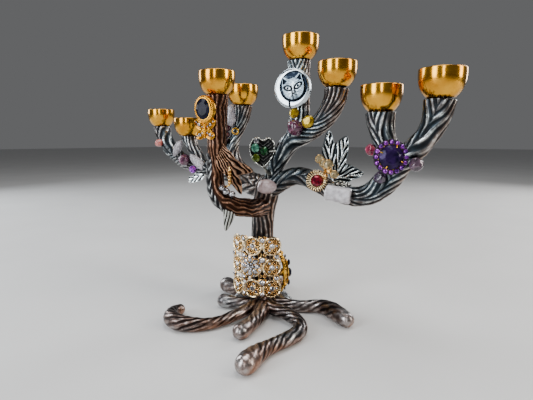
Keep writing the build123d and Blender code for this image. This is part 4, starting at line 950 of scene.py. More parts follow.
# cat medallion: a plain generic cat's head set off-centre in a bright domed ring
MED_N = (0.22, -0.97, 0.0)
md = Pl((36.5, -11.3, 163.7), MED_N)
circ = [(12.85 * math.cos(a), 12.85 * math.sin(a)) for a in np.linspace(0, 2 * math.pi, 120, endpoint=False)]


def tri_in(uv, a, b, c):
    def side(p, q):
        return (q[0] - p[0]) * (uv[:, 1] - p[1]) - (q[1] - p[1]) * (uv[:, 0] - p[0])
    d1, d2, d3 = side(a, b), side(b, c), side(c, a)
    return ((d1 > 0) & (d2 > 0) & (d3 > 0)) | ((d1 < 0) & (d2 < 0) & (d3 < 0))


def line(uv, a, b, w=0.3):
    return sstep(w, w * 0.3, sd_seg(uv, a, b))


def cat_h(uv0, ed):
    base = 1.35 - 0.9 * sstep(1.6, 0.0, ed)
    c = uv0 - np.array([1.5, 1.0])
    ro = math.radians(11)
    uv = np.stack([c[:, 0] * math.cos(ro) + c[:, 1] * math.sin(ro), -c[:, 0] * math.sin(ro) + c[:, 1] * math.cos(ro)], axis=1)
    rr = np.hypot(c[:, 0], c[:, 1])
    x, y = uv[:, 0], uv[:, 1]
    bowl = sstep(10.0, 9.3, rr)
    e = np.sqrt((x / 8.0) ** 2 + ((y + 1.5) / 7.3) ** 2)
    head = sstep(1.03, 0.95, e)
    ears = np.zeros(len(uv))
    inner = np.zeros(len(uv))
    for s_ in (-1, 1):
        ears = np.maximum(ears, tri_in(uv, (s_ * 8.0, -1.0), (s_ * 6.9, 8.4), (s_ * 1.2, 4.6)).astype(float))
        inner = np.maximum(inner, tri_in(uv, (s_ * 6.9, 2.6), (s_ * 6.4, 6.9), (s_ * 3.4, 4.2)).astype(float))
    m = np.maximum(head, ears) * bowl
    h = base - 0.55 * bowl + 1.25 * m + 0.35 * m * (1 - e * 0.7) - 0.55 * inner * m
    # painted shade: the recess round the head is darkened, and the head darkens towards its rounded edge (the 0.22
    # term)
    g = bowl * (1 - m) * 0.62 + inner * m * 0.9 + m * (0.10 + 0.22 * sstep(0.35, 0.95, e) + 0.08 * np.sin(x * 2.3) * np.sin(y * 1.9))
    g = np.maximum(g, np.exp(-((rr - 9.75) / 0.32) ** 2) * 0.95)
    g = np.maximum(g, np.exp(-((e - 1.03) / 0.035) ** 2) * (1 - ears) * 0.9 * bowl)
    for s_ in (-1, 1):
        eu, ev = x - s_ * 3.7, y + 0.4
        cs, sn = math.cos(s_ * 0.42), math.sin(s_ * 0.42)
        a, b = eu * cs + ev * sn, -eu * sn + ev * cs
        q = np.sqrt((a / 3.0) ** 2 + ((np.abs(b) + 0.20 * np.abs(a) ** 1.6 / 3.0) / 1.6) ** 2)
        rim = np.exp(-((q - 1.0) / 0.20) ** 2)
        g = g * sstep(0.6, 0.95, q)
        h = h - 0.45 * rim + 0.15 * sstep(0.9, 0.3, q)
        g = np.maximum(g, rim)
        g = np.maximum(g, sstep(0.95, 0.65, np.hypot(a, b)))
        g = np.maximum(g, 0.55 * line(uv, (s_ * 1.6, 1.9), (s_ * 5.8, 3.1), 0.42))
        g = np.maximum(g, 0.85 * line(uv, (s_ * 1.6, 0.5), (s_ * 0.9, -3.6), 0.42))
        for k in (-1.5, 0.0, 1.5):
            g = np.maximum(g, 0.5 * line(uv, (s_ * 2.2, -4.2), (s_ * 6.0, -4.2 + k), 0.24))
        g = np.maximum(g, 0.95 * line(uv, (0, -4.9), (s_ * 2.2, -6.2), 0.3))
    nose = np.sqrt((x / 1.25) ** 2 + ((y + 3.9) / 0.8) ** 2)
    h = h + 0.45 * sstep(1.2, 0.4, nose) + 0.45 * np.exp(-(x / 1.2) ** 2) * sstep(4.5, -3.6, y) * head
    g = np.maximum(g, 0.85 * np.exp(-((nose - 1.1) / 0.2) ** 2))
    g = np.maximum(g, 0.9 * line(uv, (0, -4.4), (0, -5.0), 0.28))
    notch = line(uv0, (-1.4, -8.4), (-1.0, -12.9), 0.65)
    g = np.maximum(g, notch)
    return h - 0.7 * notch, np.clip(g, 0, 1)


S = Soup()
S.add(*relief(md, circ, cat_h, 2.1, 0.22))
v, f = tube(np.array([(36.6, -10.6, 163.7), (36.3, -6.0, 163.7)]), 5.3, 20)
S.add(v, f, 0.4)
S.make("cat_medallion_look", MEDAL, "cat_medallion", angle=50)

# ------------------------------------------------------------------ stones and beads
S = Soup()
S.add(*brilliant(Pl((37.0, -9.4, 147.6), (0.35, -0.93, 0.05)), 3.35, 0.44, 0.5, 8))
S.add(*brilliant(Pl((48.5, -9.6, 141.6), (0.2, -0.95, 0.25)), 4.25, 0.44, 0.45, 8))
S.make("yellow_crystals_look", YELLOW, "yellow_crystals", smooth=False)


def bead(name, c, r, mat, node, seed, planes=26, soft=48, n=FACE, s=(1, 1, 1), smooth=True, ang=24):
    v, f = rock(Pl(c, n), (r * s[0], r * s[1], r * s[2]), seed, planes, soft, 44, 30)
    S = Soup()
    S.add(v, f)
    return S.make(name, mat, node, smooth=smooth, angle=ang)


bead("mauve_bead_right_look", (39.7, -11.2, 137.8), 5.5, MAUVE, "mauve_bead_right", 3)
bead("mauve_bead_left_look", (-85.6, -8.0, 112.3), 5.35, MAUVE, "mauve_bead_left", 5)
bead("rose_bead_look", (92.4, -6.4, 123.9), 3.55, ROSE, "rose_bead", 8)
bead("smoky_bead_look", (119.8, -5.9, 116.2), 3.95, SMOKY, "smoky_bead", 11)
bead("plum_bead_look", (100.2, -9.0, 107.8), 3.75, PLUM, "plum_bead", 13)
bead("coral_bead_look", (-123.0, -8.2, 126.8), 3.75, CORAL, "coral_bead", 17, 12, 6)

v, f = rock(Pl((13.2, -10.6, 96.2), (0.45, -0.89, 0.0)), (7.7, 5.5, 3.9), 21, 18, 9, 60, 40, 0.006)
S = Soup(); S.add(v, f)
S.make("pink_quartz_look", PINKQ, "pink_quartz", angle=60)
# the quartz rod with rounded, slightly chipped ends
ax0, ax1 = np.array([66.9, -14.8, 96.85]), np.array([82.1, -9.7, 94.95])
ts = np.concatenate([np.linspace(0, 0.06, 5), np.linspace(0.08, 0.92, 24), np.linspace(0.94, 1, 5)])
pos = ax0 + (ax1 - ax0) * ts[:, None]
edge = np.minimum(ts, 1 - ts)
rad = 5.05 * (1 - 0.16 * (1 - sstep(0, 0.07, edge)) ** 2)
v, f = tube(pos, rad, 48)
v = v + unit(FACE)[None, :] * 0 + (v - (ax0 + ax1) / 2) * (0.012 * wob(v, 0.8, 2.0))[:, None]
S = Soup(); S.add(v, f)
S.make("quartz_cylinder_look", QCYL, "quartz_cylinder", angle=50)

v, f = rock(Pl((-100.6, -4.0, 122.0), (0.5, -0.85, 0.1), spin=-0.5), (3.7, 8.2, 2.4), 31, 12, 18, 48, 34, 0.01)
S = Soup(); S.add(v, f)
S.make("quartz_chip_look", WHITEQ, "quartz_chip", angle=28)
v, f = rock(Pl((-68.6, -6.6, 110.4), (0.5, -0.85, 0.15), spin=-0.72), (10.2, 3.9, 2.6), 37, 14, 12, 80, 50, 0.05)
S = Soup(); S.add(v, f)
S.make("drusy_chip_look", DRUSY, "drusy_chip", angle=60)
v, f = rock(Pl((-33.8, 0.6, 149.0), (0.656, -0.755, 0.0)), (4.9, 9.0, 3.2), 41, 13, 20, 48, 34, 0.008)
S = Soup(); S.add(v, f)
S.make("quartz_nugget_look", WHITEQ, "quartz_nugget", angle=26)
S = Soup()
for k, (c, r) in enumerate((((-39.2, 1.2, 139.6), 2.95), ((-40.4, 0.8, 134.4), 3.05), ((-41.6, 0.8, 129.6), 2.55))):
    S.add(*rock(Pl(c, FACE), (r, r, r), 50 + k, 26, 24, 30, 20))
S.make("garnet_cluster_look", GARNET, "garnet_cluster", angle=22)
S = Soup()
S.add(*brilliant(Pl((-74.2, -8.2, 104.3), (0.45, -0.89, -0.1)), 3.35, 0.45, 0.7, 8))
S.make("violet_stone_left_look", VIOLET, "violet_stone_left", smooth=False)
rg = Pl((-31.2, 2.2, 136.6), FACE)
S = Soup()
cc = np.array([rg.at(2.35 * math.cos(a), 2.35 * math.sin(a)) for a in np.linspace(0, 2 * math.pi, 40, endpoint=False)])
S.add(*tube(cc, 0.6, 12, closed=True))
S.make("ring_finding_look", SIDEG, "ring_finding")

S = Soup()
for (c, r) in (((57.6, -8.6, 117.4), 2.5), ((60.7, -8.6, 114.6), 2.3), ((64.6, -8.9, 114.0), 2.9), ((69.6, -9.4, 108.0), 2.3)):
    S.add(*brilliant(Pl(c, (0.62, -0.78, 0.1)), r, 0.5, 0.6, 8))
S.make("champagne_crystals_look", CHAMP, "champagne_crystals", smooth=False)
S = Soup()
stalk(S, [(60.8, -6.0, 104.4), (60.4, -6.6, 107.5), (60.6, -6.6, 110.6)], 0.9)
for p in ((57.2, -6.6, 117.0), (64.4, -7.0, 113.4), (69.4, -7.6, 107.8), (60.9, -6.8, 114.4)):
    stalk(S, [(60.6, -6.6, 109.4), ((60.6 + p[0]) / 2, -7.2, (109.4 + p[2]) / 2 + 0.8), p], 0.62)
for c, r in (((65.6, -9.0, 109.6), 1.9), ((62.9, -9.2, 106.6), 1.6), ((67.6, -8.4, 106.2), 1.1), ((59.2, -8.4, 108.4), 1.0)):
    S.add(*sphere(c, r, 18, 12))
stalk(S, [(65.6, -9.0, 109.4), (64.4, -7.6, 108.8), (61.0, -6.8, 108.6)], 0.6)
for (c, r) in (((57.6, -8.6, 117.4), 2.5), ((60.7, -8.6, 114.6), 2.3), ((64.6, -8.9, 114.0), 2.9), ((69.6, -9.4, 108.0), 2.3)):
    pl = Pl(c, (0.62, -0.78, 0.1))
    cc = np.array([pl.at((r + 0.1) * math.cos(a), (r + 0.1) * math.sin(a), -0.2) for a in np.linspace(0, 2 * math.pi, 24, endpoint=False)])
    S.add(*tube(cc, 0.32, 8, closed=True), 0.2)
S.make("gold_sprigs_look", TRIM, "gold_sprigs")

# ruby flower: a fluted gold dish round the stone
rp = Pl((58.0, -11.9, 103.3), (0.60, -0.78, 0.14))
prof = arc_profile([(0.0, -2.5), (4.2, -2.4), (6.2, -0.9), (7.0, 0.5), (6.9, 1.1), (6.3, 1.2), (5.2, 0.7), (4.2, 0.9), (3.95, 1.2), (3.8, 0.6), (3.6, -0.6), (0.0, -0.7)], 5)


def flute(r, z, a):
    k = max(0.0, min(1.0, (r - 4.2) / 1.2))
    w = math.cos(26 * a)
    return (r + 0.22 * w * k, z + 0.50 * w * k * (1 if z > -0.5 else 0.5))


v, f = lathe(rp, prof, 208, flute)
ang = np.arctan2((v - rp.o) @ rp.y, (v - rp.o) @ rp.x)
rr = np.hypot((v - rp.o) @ rp.x, (v - rp.o) @ rp.y)
S = Soup(); S.add(v, f, 1.0 * (rr > 4.5) * (rr < 6.75) + 0.8 * sstep(0.34, 0.74, 0.5 - 0.5 * np.cos(26 * ang)) * (rr >= 6.75) + (rr < 4.5) * 0.3)
for k in range(26):                                       # raised flutes; the dish between them, the gaps at their outer ends and the middle under the stone are darkened
    a_ = 2 * math.pi * k / 26
    c_, s_ = math.cos(a_), math.sin(a_)
    S.add(*tube(np.array([rp.at(4.5 * c_, 4.5 * s_, 0.95), rp.at(5.4 * c_, 5.4 * s_, 1.05), rp.at(6.3 * c_, 6.3 * s_, 1.35), rp.at(6.95 * c_, 6.95 * s_, 1.0)]), 0.40, 8))
stalk(S, [(57.8, -11.0, 103.0), (57.0, -7.0, 102.0)], 2.6, 16)
S.make("ruby_flower_look", RIMG, "ruby_flower", angle=60)
S = Soup(); S.add(*brilliant(Pl(rp.at(0, 0, 0.5), rp.n), 3.75, 0.42, 0.30, 10, 0.6))
S.make("ruby_stone_look", RUBY, "ruby_stone", smooth=False)

# violet brooch
VN = (0.60, -0.79, 0.05)
vp = Pl((107.6, -11.4, 120.1), VN)
S = Soup()
S.add(*lathe(vp, arc_profile([(0.0, -3.1), (7.4, -3.1), (9.7, -1.4), (10.1, -0.1), (9.6, 0.2), (7.3, 0.15), (7.15, 0.7), (6.95, 0.6), (6.85, -1.4), (0.0, -1.5)], 4), 96))
for i in range(16):
    a = 2 * math.pi * i / 16
    q = Pl(vp.at(8.45 * math.cos(a), 8.45 * math.sin(a), 0.0), VN)
    S.add(*lathe(q, [(0.0, -0.3), (1.5, -0.3), (1.62, 0.2), (1.5, 0.55), (1.3, 0.5), (1.25, 0.1), (0.0, 0.1)], 18))
    for k in range(2):
        b = a + 2 * math.pi * (k - 0.5) / 32 * 1.0
    b = a + math.pi / 16
    S.add(*sphere(vp.at(9.7 * math.cos(b), 9.7 * math.sin(b), 0.3), 0.5, 10, 6))
S.add(*tube(np.array([(107.2, -10.0, 119.6), (106.6, -6.0, 118.0)]), 4.4, 24))
S.make("violet_brooch_back", DARKM, "violet_brooch")
S = Soup()
for i in range(4):
    a = math.pi / 4 + math.pi / 2 * i + 0.35
    P = [vp.at(7.25 * math.cos(a), 7.25 * math.sin(a), 0.0), vp.at(7.0 * math.cos(a), 7.0 * math.sin(a), 1.3), vp.at(6.0 * math.cos(a), 6.0 * math.sin(a), 1.75)]
    S.add(*tube(resample([(*p, 0.42) for p in P], 0.3)[:, :3], 0.42, 10, round_end=True))
cc = np.array([vp.at(7.12 * math.cos(a), 7.12 * math.sin(a), 0.55) for a in np.linspace(0, 2 * math.pi, 90, endpoint=False)])
S.add(*tube(cc, 0.2, 8, closed=True), 0.3)
S.make("violet_brooch_prongs", SIDEG, "violet_brooch")
S = Soup()
S.add(*brilliant(Pl(vp.at(0, 0, 0.35), VN), 6.8, 0.36, 0.22, 12, 0.58))
S.make("violet_center_stone_look", VIODARK, "violet_center_stone", smooth=False)
S = Soup()
for i in range(16):
    a = 2 * math.pi * i / 16
    S.add(*brilliant(Pl(vp.at(8.45 * math.cos(a), 8.45 * math.sin(a), 0.75), VN, spin=a), 1.28, 0.55, 0.45, 6, 0.5))
S.make("violet_ring_stones_look", VIOLET, "violet_ring_stones", smooth=False)

# onyx in its oval bezel
ON = (0.27, -0.96, -0.05)
op = Pl((-6.5, -50.6, 150.2), ON)


def oval_ring(S, pl, a, b, w, r, seg=72, tseg=10, g=0.0):
    cc = np.array([pl.at(a * math.cos(t), b * math.sin(t), w) for t in np.linspace(0, 2 * math.pi, seg, endpoint=False)])
    S.add(*tube(cc, r, tseg, closed=True), g)


S = Soup()
oo = [(7.3 * math.cos(t), 8.8 * math.sin(t)) for t in np.linspace(0, 2 * math.pi, 80, endpoint=False)]
S.add(*relief(op, oo, lambda uv, ed: (1.4 + 0.9 * sstep(0.2, 1.4, ed) - 2.0 * sstep(1.35, 1.8, ed) - 0.7 * sstep(0.4, 0, ed), 0.35 * sstep(0.9, 0.3, ed)), 2.1, 0.34))
oval_ring(S, op, 6.95, 8.45, 0.9, 0.42, g=0.1)
oval_ring(S, op, 7.0, 8.5, -0.9, 0.42, g=0.1)
oval_ring(S, op, 5.75, 7.2, 2.2, 0.34)
for k in range(44):
    t = 2 * math.pi * k / 44
    S.add(*sphere(op.at(6.75 * math.cos(t), 8.25 * math.sin(t), 1.7), 0.42, 8, 6))
S.add(*tube(np.array([(-6.5, -50.2, 150.2), (-6.4, -46.0, 150.2)]), 4.9, 24), 0.5)
S.make("onyx_bezel_look", GOLD, "onyx_bezel")
S = Soup()
S.add(*brilliant(Pl(op.at(0, 0, 2.0), ON), 5.6, 0.26, 0.2, 12, 0.62, 1.0, 7.1 / 5.6))
S.make("onyx_stone_look", ONYX, "onyx_stone", smooth=False)

# butterfly: wire wings with a stone in each
BN = (0.22, -0.97, -0.02)
bp = Pl((-9.4, -48.2, 136.4), BN)
S = Soup()
G2 = Soup()
WINGS = [(4.4, 3.6, 5.0, 2.9, 0.64), (-4.4, 3.6, 5.0, 2.9, 2.5), (3.9, -3.2, 3.9, 2.9, -0.4), (-3.9, -3.2, 3.9, 2.9, 0.4)]
for cx, cy, a, b, tn in WINGS:
    for k, rr_, zz in ((0.94, 0.42, 0.2), (0.62, 0.30, 0.3)):
        cc = []
        for t in np.linspace(0, 2 * math.pi, 44, endpoint=False):
            u, w = k * a * math.cos(t), k * b * math.sin(t)
            cc.append(bp.at(cx + u * math.cos(tn) - w * math.sin(tn), cy + u * math.sin(tn) + w * math.cos(tn), zz))
        S.add(*tube(np.array(cc), rr_, 8, closed=True), 0.0)
    ov = [(cx + 0.9 * a * math.cos(t) * math.cos(tn) - 0.9 * b * math.sin(t) * math.sin(tn), cy + 0.9 * a * math.cos(t) * math.sin(tn) + 0.9 * b * math.sin(t) * math.cos(tn))
          for t in np.linspace(0, 2 * math.pi, 40, endpoint=False)]
    S.add(*relief(bp, ov, lambda uv, ed, cx=cx, cy=cy: (-0.1 - 0.25 * sstep(0.3, 0.95, np.abs(((np.arctan2(uv[:, 1], uv[:, 0]) * 7.0) % 1.0) - 0.5) * 2), sstep(0.2, 0.9, np.abs(((np.arctan2(uv[:, 1], uv[:, 0]) * 7.0) % 1.0) - 0.5) * 2) * 0.8), 0.6, 0.42))
for v0 in np.linspace(-5.0, 5.2, 9):
    S.add(*sphere(bp.at(0, v0, 0.5), 1.25 - 0.09 * abs(v0), 14, 10))
for s in (-1, 1):
    P = [bp.at(0, 5.4, 0.6), bp.at(s * 0.9, 7.0, 0.8), bp.at(s * 2.0, 7.8, 0.8)]
    S.add(*tube(resample([(*p, 0.22) for p in P], 0.3)[:, :3], 0.22, 8, round_end=True))
S.add(*tube(np.array([(-9.4, -48.0, 136.4), (-7.8, -45.0, 136.4)]), 1.9, 16), 0.4)
S.make("butterfly_look", GOLD, "butterfly")
S = Soup()
for u, w, r in ((-4.6, 3.8, 1.3), (4.6, 3.8, 1.3), (-4.1, -3.2, 1.2), (4.1, -3.2, 1.2)):
    S.add(*brilliant(Pl(bp.at(u, w, 0.75), BN), r, 0.5, 0.5, 6))
for u, w, r in ((-6.9, 5.6, 0.7), (6.9, 5.6, 0.7), (-2.2, 2.2, 0.7), (2.2, 2.2, 0.7), (-6.3, -3.9, 0.65), (6.3, -3.9, 0.65), (-2.1, -2.1, 0.65), (2.1, -2.1, 0.65)):
    S.add(*brilliant(Pl(bp.at(u, w, 0.6), BN), r, 0.5, 0.5, 6))
S.make("butterfly_stones_look", RHINE_REFLECTIONS, "butterfly_stones", smooth=False)

# bead stack and crystals in the crook of the arm
S = Soup()
for i in range(5):
    S.add(*sphere((4.6, -39.2, 109.2 - 2.15 * i), 1.5, 20, 12, (1, 1, 0.70)))
    cc = np.array([(4.6 + 1.28 * math.cos(a), -39.2 + 1.28 * math.sin(a), 108.13 - 2.15 * i) for a in np.linspace(0, 2 * math.pi, 20, endpoint=False)])
    S.add(*tube(cc, 0.18, 6, closed=True), 0.5)
S.add(*tube(np.array([(4.6, -39.2, 98.6), (4.6, -39.2, 111.2)]), 0.42, 10, round_end=True))
P = [(4.6, -39.2, 99.0), (1.5, -39.9, 97.8), (-4.0, -40.4, 97.2)]
S.add(*tube(resample([(*p, 0.6) for p in P], 0.4)[:, :3], 0.7, 10))
S.make("gold_bead_stack_look", TRIM, "gold_bead_stack")
S = Soup()
for k, (c, r) in enumerate((((2.2, -40.6, 94.4), 2.85), ((6.2, -38.4, 92.4), 2.45), ((0.2, -42.6, 97.0), 2.15))):
    S.add(*rock(Pl(c, FACE), (r, r, r), 70 + k, 18, 30, 30, 20))
S.make("clear_crystals_look", RHINE_REFLECTIONS, "clear_crystals", angle=18)

# ------------------------------------------------------------------ openwork brooch bowed round the trunk
FR = 26.0
FAX = np.array([-4.5, 8.0, 0.0])
COLS = (12.0, -20.7, -53.4)
ROWS = (51.0, 34.4, 17.8)


def fd(deg):
    a = math.radians(deg)
    return FACE * math.cos(a) + ACROSS * math.sin(a)


def fb(u, v_, w=0.0):
    """(u across in mm from FACE, height, out) to space, on the bowed surface."""
    d = fd(math.degrees(u / FR))
    return FAX + d * (FR + w) + UP * v_


def fpl(u, v_, w=0.0, spin=0.0):
    return Pl(fb(u, v_, w), fd(math.degrees(u / FR)), spin=spin)


def wire(S, pts, r, closed=False, seg=7, g=0.0):
    P = np.array([fb(*p) for p in pts])
    S.add(*tube(P, r, seg, closed=closed, first=(0.1, 0.2, 1), round_end=False), g)


def circle(cu, cv, r, n=28, w=0.0, s=1.0):
    return [(cu + r * math.cos(a), cv + r * s * math.sin(a), w) for a in np.linspace(0, 2 * math.pi, n, endpoint=False)]


def shadow_disc(S, cu, cv, r, w, t=0.35, seg=36, rings=4, g=1.0):
    """A thin bowed disc, closed on both faces; near-black at its default groove value of 1.0, a painted shadow set
    behind the openwork.
    """
    v = []
    for ww in (w, w - t):
        v.append(fb(cu, cv, ww))
        for i in range(1, rings + 1):
            for k in range(seg):
                a = 2 * math.pi * k / seg
                v.append(fb(cu + r * i / rings * math.cos(a), cv + r * i / rings * math.sin(a), ww))
    n = 1 + rings * seg
    f = []
    for k in range(seg):
        l = (k + 1) % seg
        f.append((0, 1 + k, 1 + l))
        f.append((n, n + 1 + l, n + 1 + k))
        for i in range(rings - 1):
            p, q = 1 + i * seg, 1 + (i + 1) * seg
            f.append((p + k, q + k, q + l, p + l))
            f.append((n + p + k, n + p + l, n + q + l, n + q + k))
        p = 1 + (rings - 1) * seg
        f.append((p + k, n + p + k, n + p + l, p + l))
    S.add(v, f, g)


# painted shade: near-black discs sit behind the rosettes and inner stones, and wires, domes and posts set further back
# or under stones get higher groove values, so they darken
S = Soup()
St = Soup()
shadow_discs = Soup()
Rm = Soup()
UC = [math.radians(c) * FR for c in COLS]
for ci, cu in enumerate(UC):
    for ri, cv in enumerate(ROWS):
        # double outer rim, the outer one roped
        shadow_disc(shadow_discs, cu, cv, 6.5, -0.75)
        rope = [(cu + (6.2 + 0.22 * math.cos(9 * a * 2)) * math.cos(a), cv + (6.2 + 0.22 * math.cos(9 * a * 2)) * math.sin(a), 0.35 + 0.2 * math.sin(9 * a * 2)) for a in np.linspace(0, 2 * math.pi, 120, endpoint=False)]
        wire(S, circle(cu, cv, 5.5, 50, -0.45), 0.34, True, 6, 0.8)
        wire(Rm, circle(cu, cv, 6.8, 60, 0.15), 0.70, True, 8)
        wire(Rm, rope, 0.30, True, 6)
        if (ci, ri) == (1, 1):
            continue
        for k in range(6):
            a = math.pi / 3 * k + 0.3 * ci
            pu, pv = cu + 3.75 * math.cos(a), cv + 3.75 * math.sin(a)
            wire(S, circle(pu, pv, 1.58, 18, 0.25), 0.38, True, 6)
            # small rosette stone or bead in each loop
            if k % 2 == ci % 2:
                St.add(*brilliant(fpl(pu, pv, 0.35, a), 0.95, 0.45, 0.4, 6))
            else:
                S.add(*dome(fpl(pu, pv, 0.0), 0.62, 0.55, 10, 3), 0.0)
            b = a + math.pi / 6
            sc = [(cu + q * math.cos(b + 0.5 * math.sin(q * 1.3)), cv + q * math.sin(b + 0.5 * math.sin(q * 1.3)), 0.0) for q in np.linspace(2.2, 5.6, 8)]
            wire(S, [(p[0], p[1], -0.35) for p in sc], 0.26, g=0.55)
        wire(Rm, circle(cu, cv, 2.05, 22, 0.5), 0.36, True, 6)
        St.add(*brilliant(fpl(cu, cv, 0.75), 1.9, 0.5, 0.5, 8))
        S.add(*dome(Pl(fb(cu, cv, -0.7), fd(math.degrees(cu / FR))), 3.0, 0.8, 16, 3), 0.95)
# links, border scrolls and the single stones between the rosettes
BET = [(-4.3, 55.6, 1.9), (-4.3, 40.4, 2.2), (-4.3, 22.6, 2.3), (19.6, 42.7, 1.8), (19.6, 25.9, 1.9), (-4.3, 13.4, 1.9), (-64.0, 42.7, 1.7), (-64.0, 26.0, 1.7),
       (-37.0, 56.0, 1.7), (-37.0, 43.0, 1.8), (-37.0, 26.0, 1.8), (-37.0, 13.2, 1.6)]
for deg, z, r in BET:
    u = math.radians(deg) * FR
    wire(S, circle(u, z, r + 0.35, 24, 0.5), 0.42, True, 6)
    if -50 < deg < 15 and 15 < z < 50:
        shadow_disc(shadow_discs, u, z, 3.3, -0.8, seg=20, rings=2)
    S.add(*dome(Pl(fb(u, z, -0.2), fd(deg)), r + 0.3, 0.7, 16, 3), 0.7)
    St.add(*brilliant(fpl(u, z, 0.95), r, 0.5, 0.45, 8))
for deg in (-4.3, -37.0):
    u = math.radians(deg) * FR
    for z in (42.7, 26.1):
        for k in range(4):
            a = math.pi / 2 * k + math.pi / 4
            wire(S, circle(u + 2.6 * math.cos(a), z + 2.6 * math.sin(a), 1.15, 16, -0.1), 0.34, True, 6, 0.2)
for z in (11.9, 58.0):
    for u in np.arange(-24.8, 8, 3.1):
        if min(abs(u - c) for c in UC) > 3.4:
            wire(S, circle(u, z + (1.0 if z < 30 else -1.0), 1.3, 16, -0.2), 0.36, True, 6, 0.2)
for u in (UC[0] + 6.3, UC[2] - 6.3):
    for z in (46.6, 38.8, 29.8, 22.0):
        wire(S, circle(u, z, 1.25, 16, -0.3), 0.36, True, 6, 0.2)
# flower of stones over the middle rosette
fu, fz = math.radians(-24.0) * FR, 35.5
for k in range(8):
    a = 2 * math.pi * k / 8
    pl = fpl(fu + 5.3 * math.cos(a), fz + 5.3 * math.sin(a), 1.5, a)
    St.add(*brilliant(pl, 1.95, 0.45, 0.5, 8, 0.5, 1.28, 0.92))
    wire(S, [(fu + 5.3 * math.cos(a) + 2.8 * math.cos(t) * math.cos(a) - 2.05 * math.sin(t) * math.sin(a), fz + 5.3 * math.sin(a) + 2.8 * math.cos(t) * math.sin(a) + 2.05 * math.sin(t) * math.cos(a), 1.3) for t in np.linspace(0, 2 * math.pi, 26, endpoint=False)], 0.34, True, 6)
    b = a + math.pi / 8
    St.add(*brilliant(fpl(fu + 7.6 * math.cos(b), fz + 7.6 * math.sin(b), 1.0, a), 1.05, 0.5, 0.4, 6))
for k in range(6):
    a = 2 * math.pi * k / 6
    St.add(*brilliant(fpl(fu + 2.35 * math.cos(a), fz + 2.35 * math.sin(a), 2.3, a), 1.15, 0.5, 0.4, 6))
St.add(*brilliant(fpl(fu, fz, 2.7), 1.5, 0.55, 0.4, 8))
S.add(*dome(Pl(fb(fu, fz, -0.5), fd(-24.0)), 6.4, 2.2, 30, 5), 0.4)
# two posts that carry it on the trunk
for z, r in ((34.4, 2.2), (52.0, 1.9)):
    a, b = fb(math.radians(-4.3) * FR, z, -0.6), np.array([1.5, -2.0, z])
    b = a + (b - a) * 0.72
    S.add(*tube(np.array([a, b]), r, 16), 0.5)
S.make("filigree_brooch_look", TRIM, "filigree_brooch")
Rm.make("filigree_brooch_rims", RIMG, "filigree_brooch")
shadow_discs.make("filigree_brooch_shadow_discs", DARKM, "filigree_brooch")
St.make("filigree_stones_look", RHINE_REFLECTIONS, "filigree_stones", smooth=False)

# oval brooch on the trunk's right side
sc = ACROSS * 16.2 + np.array([0.3, -0.2, 25.6])
sb = Pl(sc, ACROSS)
S = Soup()
so2 = [(8.4 * math.cos(t), 17.2 * math.sin(t)) for t in np.linspace(0, 2 * math.pi, 90, endpoint=False)]


def side_h(uv, ed):
    q = np.sqrt((uv[:, 0] / 8.5) ** 2 + (uv[:, 1] / 17.3) ** 2)
    a = np.arctan2(uv[:, 1] / 17.3, uv[:, 0] / 8.5)
    ph = a * 22 / (2 * math.pi)
    d = np.abs(ph - np.floor(ph) - 0.5) * 2
    g = sstep(0.5, 0.95, d) * sstep(0.45, 0.7, q) * sstep(1.0, 0.93, q)
    ring = np.exp(-((q - 0.62) / 0.05) ** 2)
    return 1.3 + 3.6 * (1 - q ** 2.4) - 0.7 * g - 0.6 * ring, np.clip(g + 0.8 * ring + 0.55 * sstep(0.92, 0.80, q), 0, 1)




def bow(v_):
    return -0.0150 * v_ * v_


S.add(*relief(sb, so2, side_h, 0.2, 0.45, lambda uv: bow(uv[:, 1])))
for (a_, b_, w_, r_) in ((8.2, 17.0, 0.7, 0.8), (5.1, 10.8, 4.0, 0.45)):
    cc = np.array([sb.at(a_ * math.cos(t), b_ * math.sin(t), w_ + bow(b_ * math.sin(t))) for t in np.linspace(0, 2 * math.pi, 90, endpoint=False)])
    S.add(*tube(cc, r_, 10, closed=True))
for k in range(40):
    t = 2 * math.pi * k / 40
    S.add(*sphere(sb.at(7.2 * math.cos(t), 15.9 * math.sin(t), 2.0 + bow(15.9 * math.sin(t))), 0.66, 8, 6))
for u, w in ((6.6, 14.2), (7.6, -7.6), (-6.6, 14.2), (-7.6, -7.6), (0.0, 16.6)):
    S.add(*sphere(sb.at(u * 0.98, w * 0.98, 2.1 + bow(w)), 1.55, 16, 10))
S.add(*tube(np.array([sc + ACROSS * 0.5, sc - ACROSS * 8.2]), 3.1, 20), 0.6)
S.make("side_brooch_look", SIDEG, "side_brooch")
S = Soup()
for u, w, r in ((0, 0, 3.6), (0, 8.2, 2.6), (0, -8.2, 2.6), (0.0, 13.2, 1.5), (0.0, -13.4, 1.5)):
    S.add(*brilliant(Pl(sb.at(u, w, (5.2 if abs(w) < 12 else 3.6) + bow(w) * 0.8), ACROSS), r, 0.42, 0.5, 8))
S.make("side_brooch_stones_look", ONYX, "side_brooch_stones", smooth=False)

for nd in ("cup_screws", "base_screw"):
    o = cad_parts[nd]
    for sl in o.material_slots:
        sl.material = STEEL

# ------------------------------------------------------------------ floor, light and camera
me = bpy.data.meshes.new("studio_floor")
R_ = 6.0
me.from_pydata([(-R_, -R_, 0), (R_, -R_, 0), (R_, R_, 0), (-R_, R_, 0)], [], [(0, 1, 2, 3)])
fl = bpy.data.objects.new("studio_floor", me)
bpy.context.collection.objects.link(fl)
m, nt, bs = nodes_of("pale_floor")
nt.links.new(ramp(nt, noise_tex(nt, 9.0, 3.0, 0.5), [(0.3, c4(0.60, 0.598, 0.592)), (0.7, c4(0.64, 0.638, 0.632))]), bs.inputs["Base Color"])
bs.inputs["Roughness"].default_value = 0.7
me.materials.append(m)

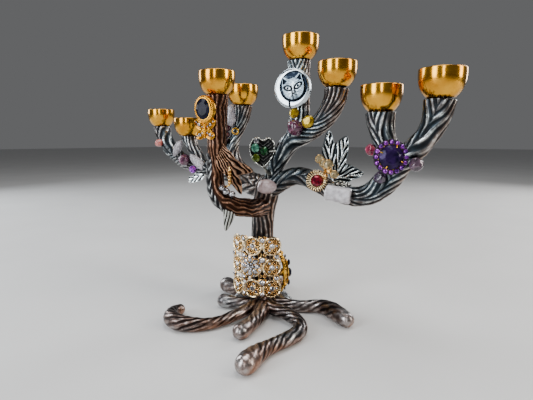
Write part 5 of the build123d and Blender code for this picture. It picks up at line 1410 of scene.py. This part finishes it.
w = bpy.data.worlds.new("studio_world")
bpy.context.scene.world = w
w.use_nodes = True
w.node_tree.nodes["Background"].inputs["Color"].default_value = (0.80, 0.81, 0.83, 1)
w.node_tree.nodes["Background"].inputs["Strength"].default_value = 0.16


def area(name, loc, target, size, size_y, power, col=(1, 1, 1)):
    ld = bpy.data.lights.new(name, "AREA")
    ld.shape = "RECTANGLE"
    ld.size, ld.size_y = size, size_y
    ld.energy = power
    ld.color = col
    o = bpy.data.objects.new(name, ld)
    bpy.context.collection.objects.link(o)
    o.location = loc
    o.rotation_euler = (Vector(target) - Vector(loc)).to_track_quat("-Z", "Y").to_euler()
    return o


CAM = Vector(((203.7 + OX) / 1000, (-229.7 + OY) / 1000, 0.130))
F = Vector((-0.656, 0.755, 0.0)).normalized() * math.cos(math.radians(-8.6)) + Vector((0, 0, 1)) * math.sin(math.radians(-8.6))
Rr = Vector((0.755, 0.656, 0.0)).normalized()
Uu = Rr.cross(F)
tgt = (0.0, 0.02, 0.10)


def rel(right, back, up):
    """A point right of, towards, and above the object, as the camera sees it."""
    p = Vector((0, 0.02, 0)) + Rr * right - Vector((F.x, F.y, 0)).normalized() * back
    return (p.x, p.y, up)


area("window_left", rel(-0.70, 0.55, 0.42), tgt, 0.34, 0.80, 8.5, (0.90, 0.95, 1.0))
area("window_slit", rel(-0.16, 0.90, 0.42), tgt, 0.12, 0.70, 2.6, (1.0, 1.0, 1.0))
area("window_right", rel(0.85, 0.35, 0.50), tgt, 0.26, 0.80, 6.5, (1.0, 0.93, 0.84))
area("top_soft", rel(0.05, 0.05, 0.95), tgt, 0.60, 0.60, 6.0)
area("back_left", rel(-0.75, -0.45, 0.45), tgt, 0.30, 0.60, 4.5, (0.90, 0.95, 1.0))
area("back_right", rel(0.75, -0.55, 0.50), tgt, 0.30, 0.60, 4.5)

cd = bpy.data.cameras.new("photo_camera")
cd.sensor_width = 36.0
cd.lens = 36.0 * 400.0 / 533.0
cd.clip_start = 0.01
co = bpy.data.objects.new("photo_camera", cd)
bpy.context.collection.objects.link(co)
co.matrix_world = Matrix(((Rr.x, Uu.x, -F.x, CAM.x), (Rr.y, Uu.y, -F.y, CAM.y), (Rr.z, Uu.z, -F.z, CAM.z), (0, 0, 0, 1)))
bpy.context.scene.camera = co
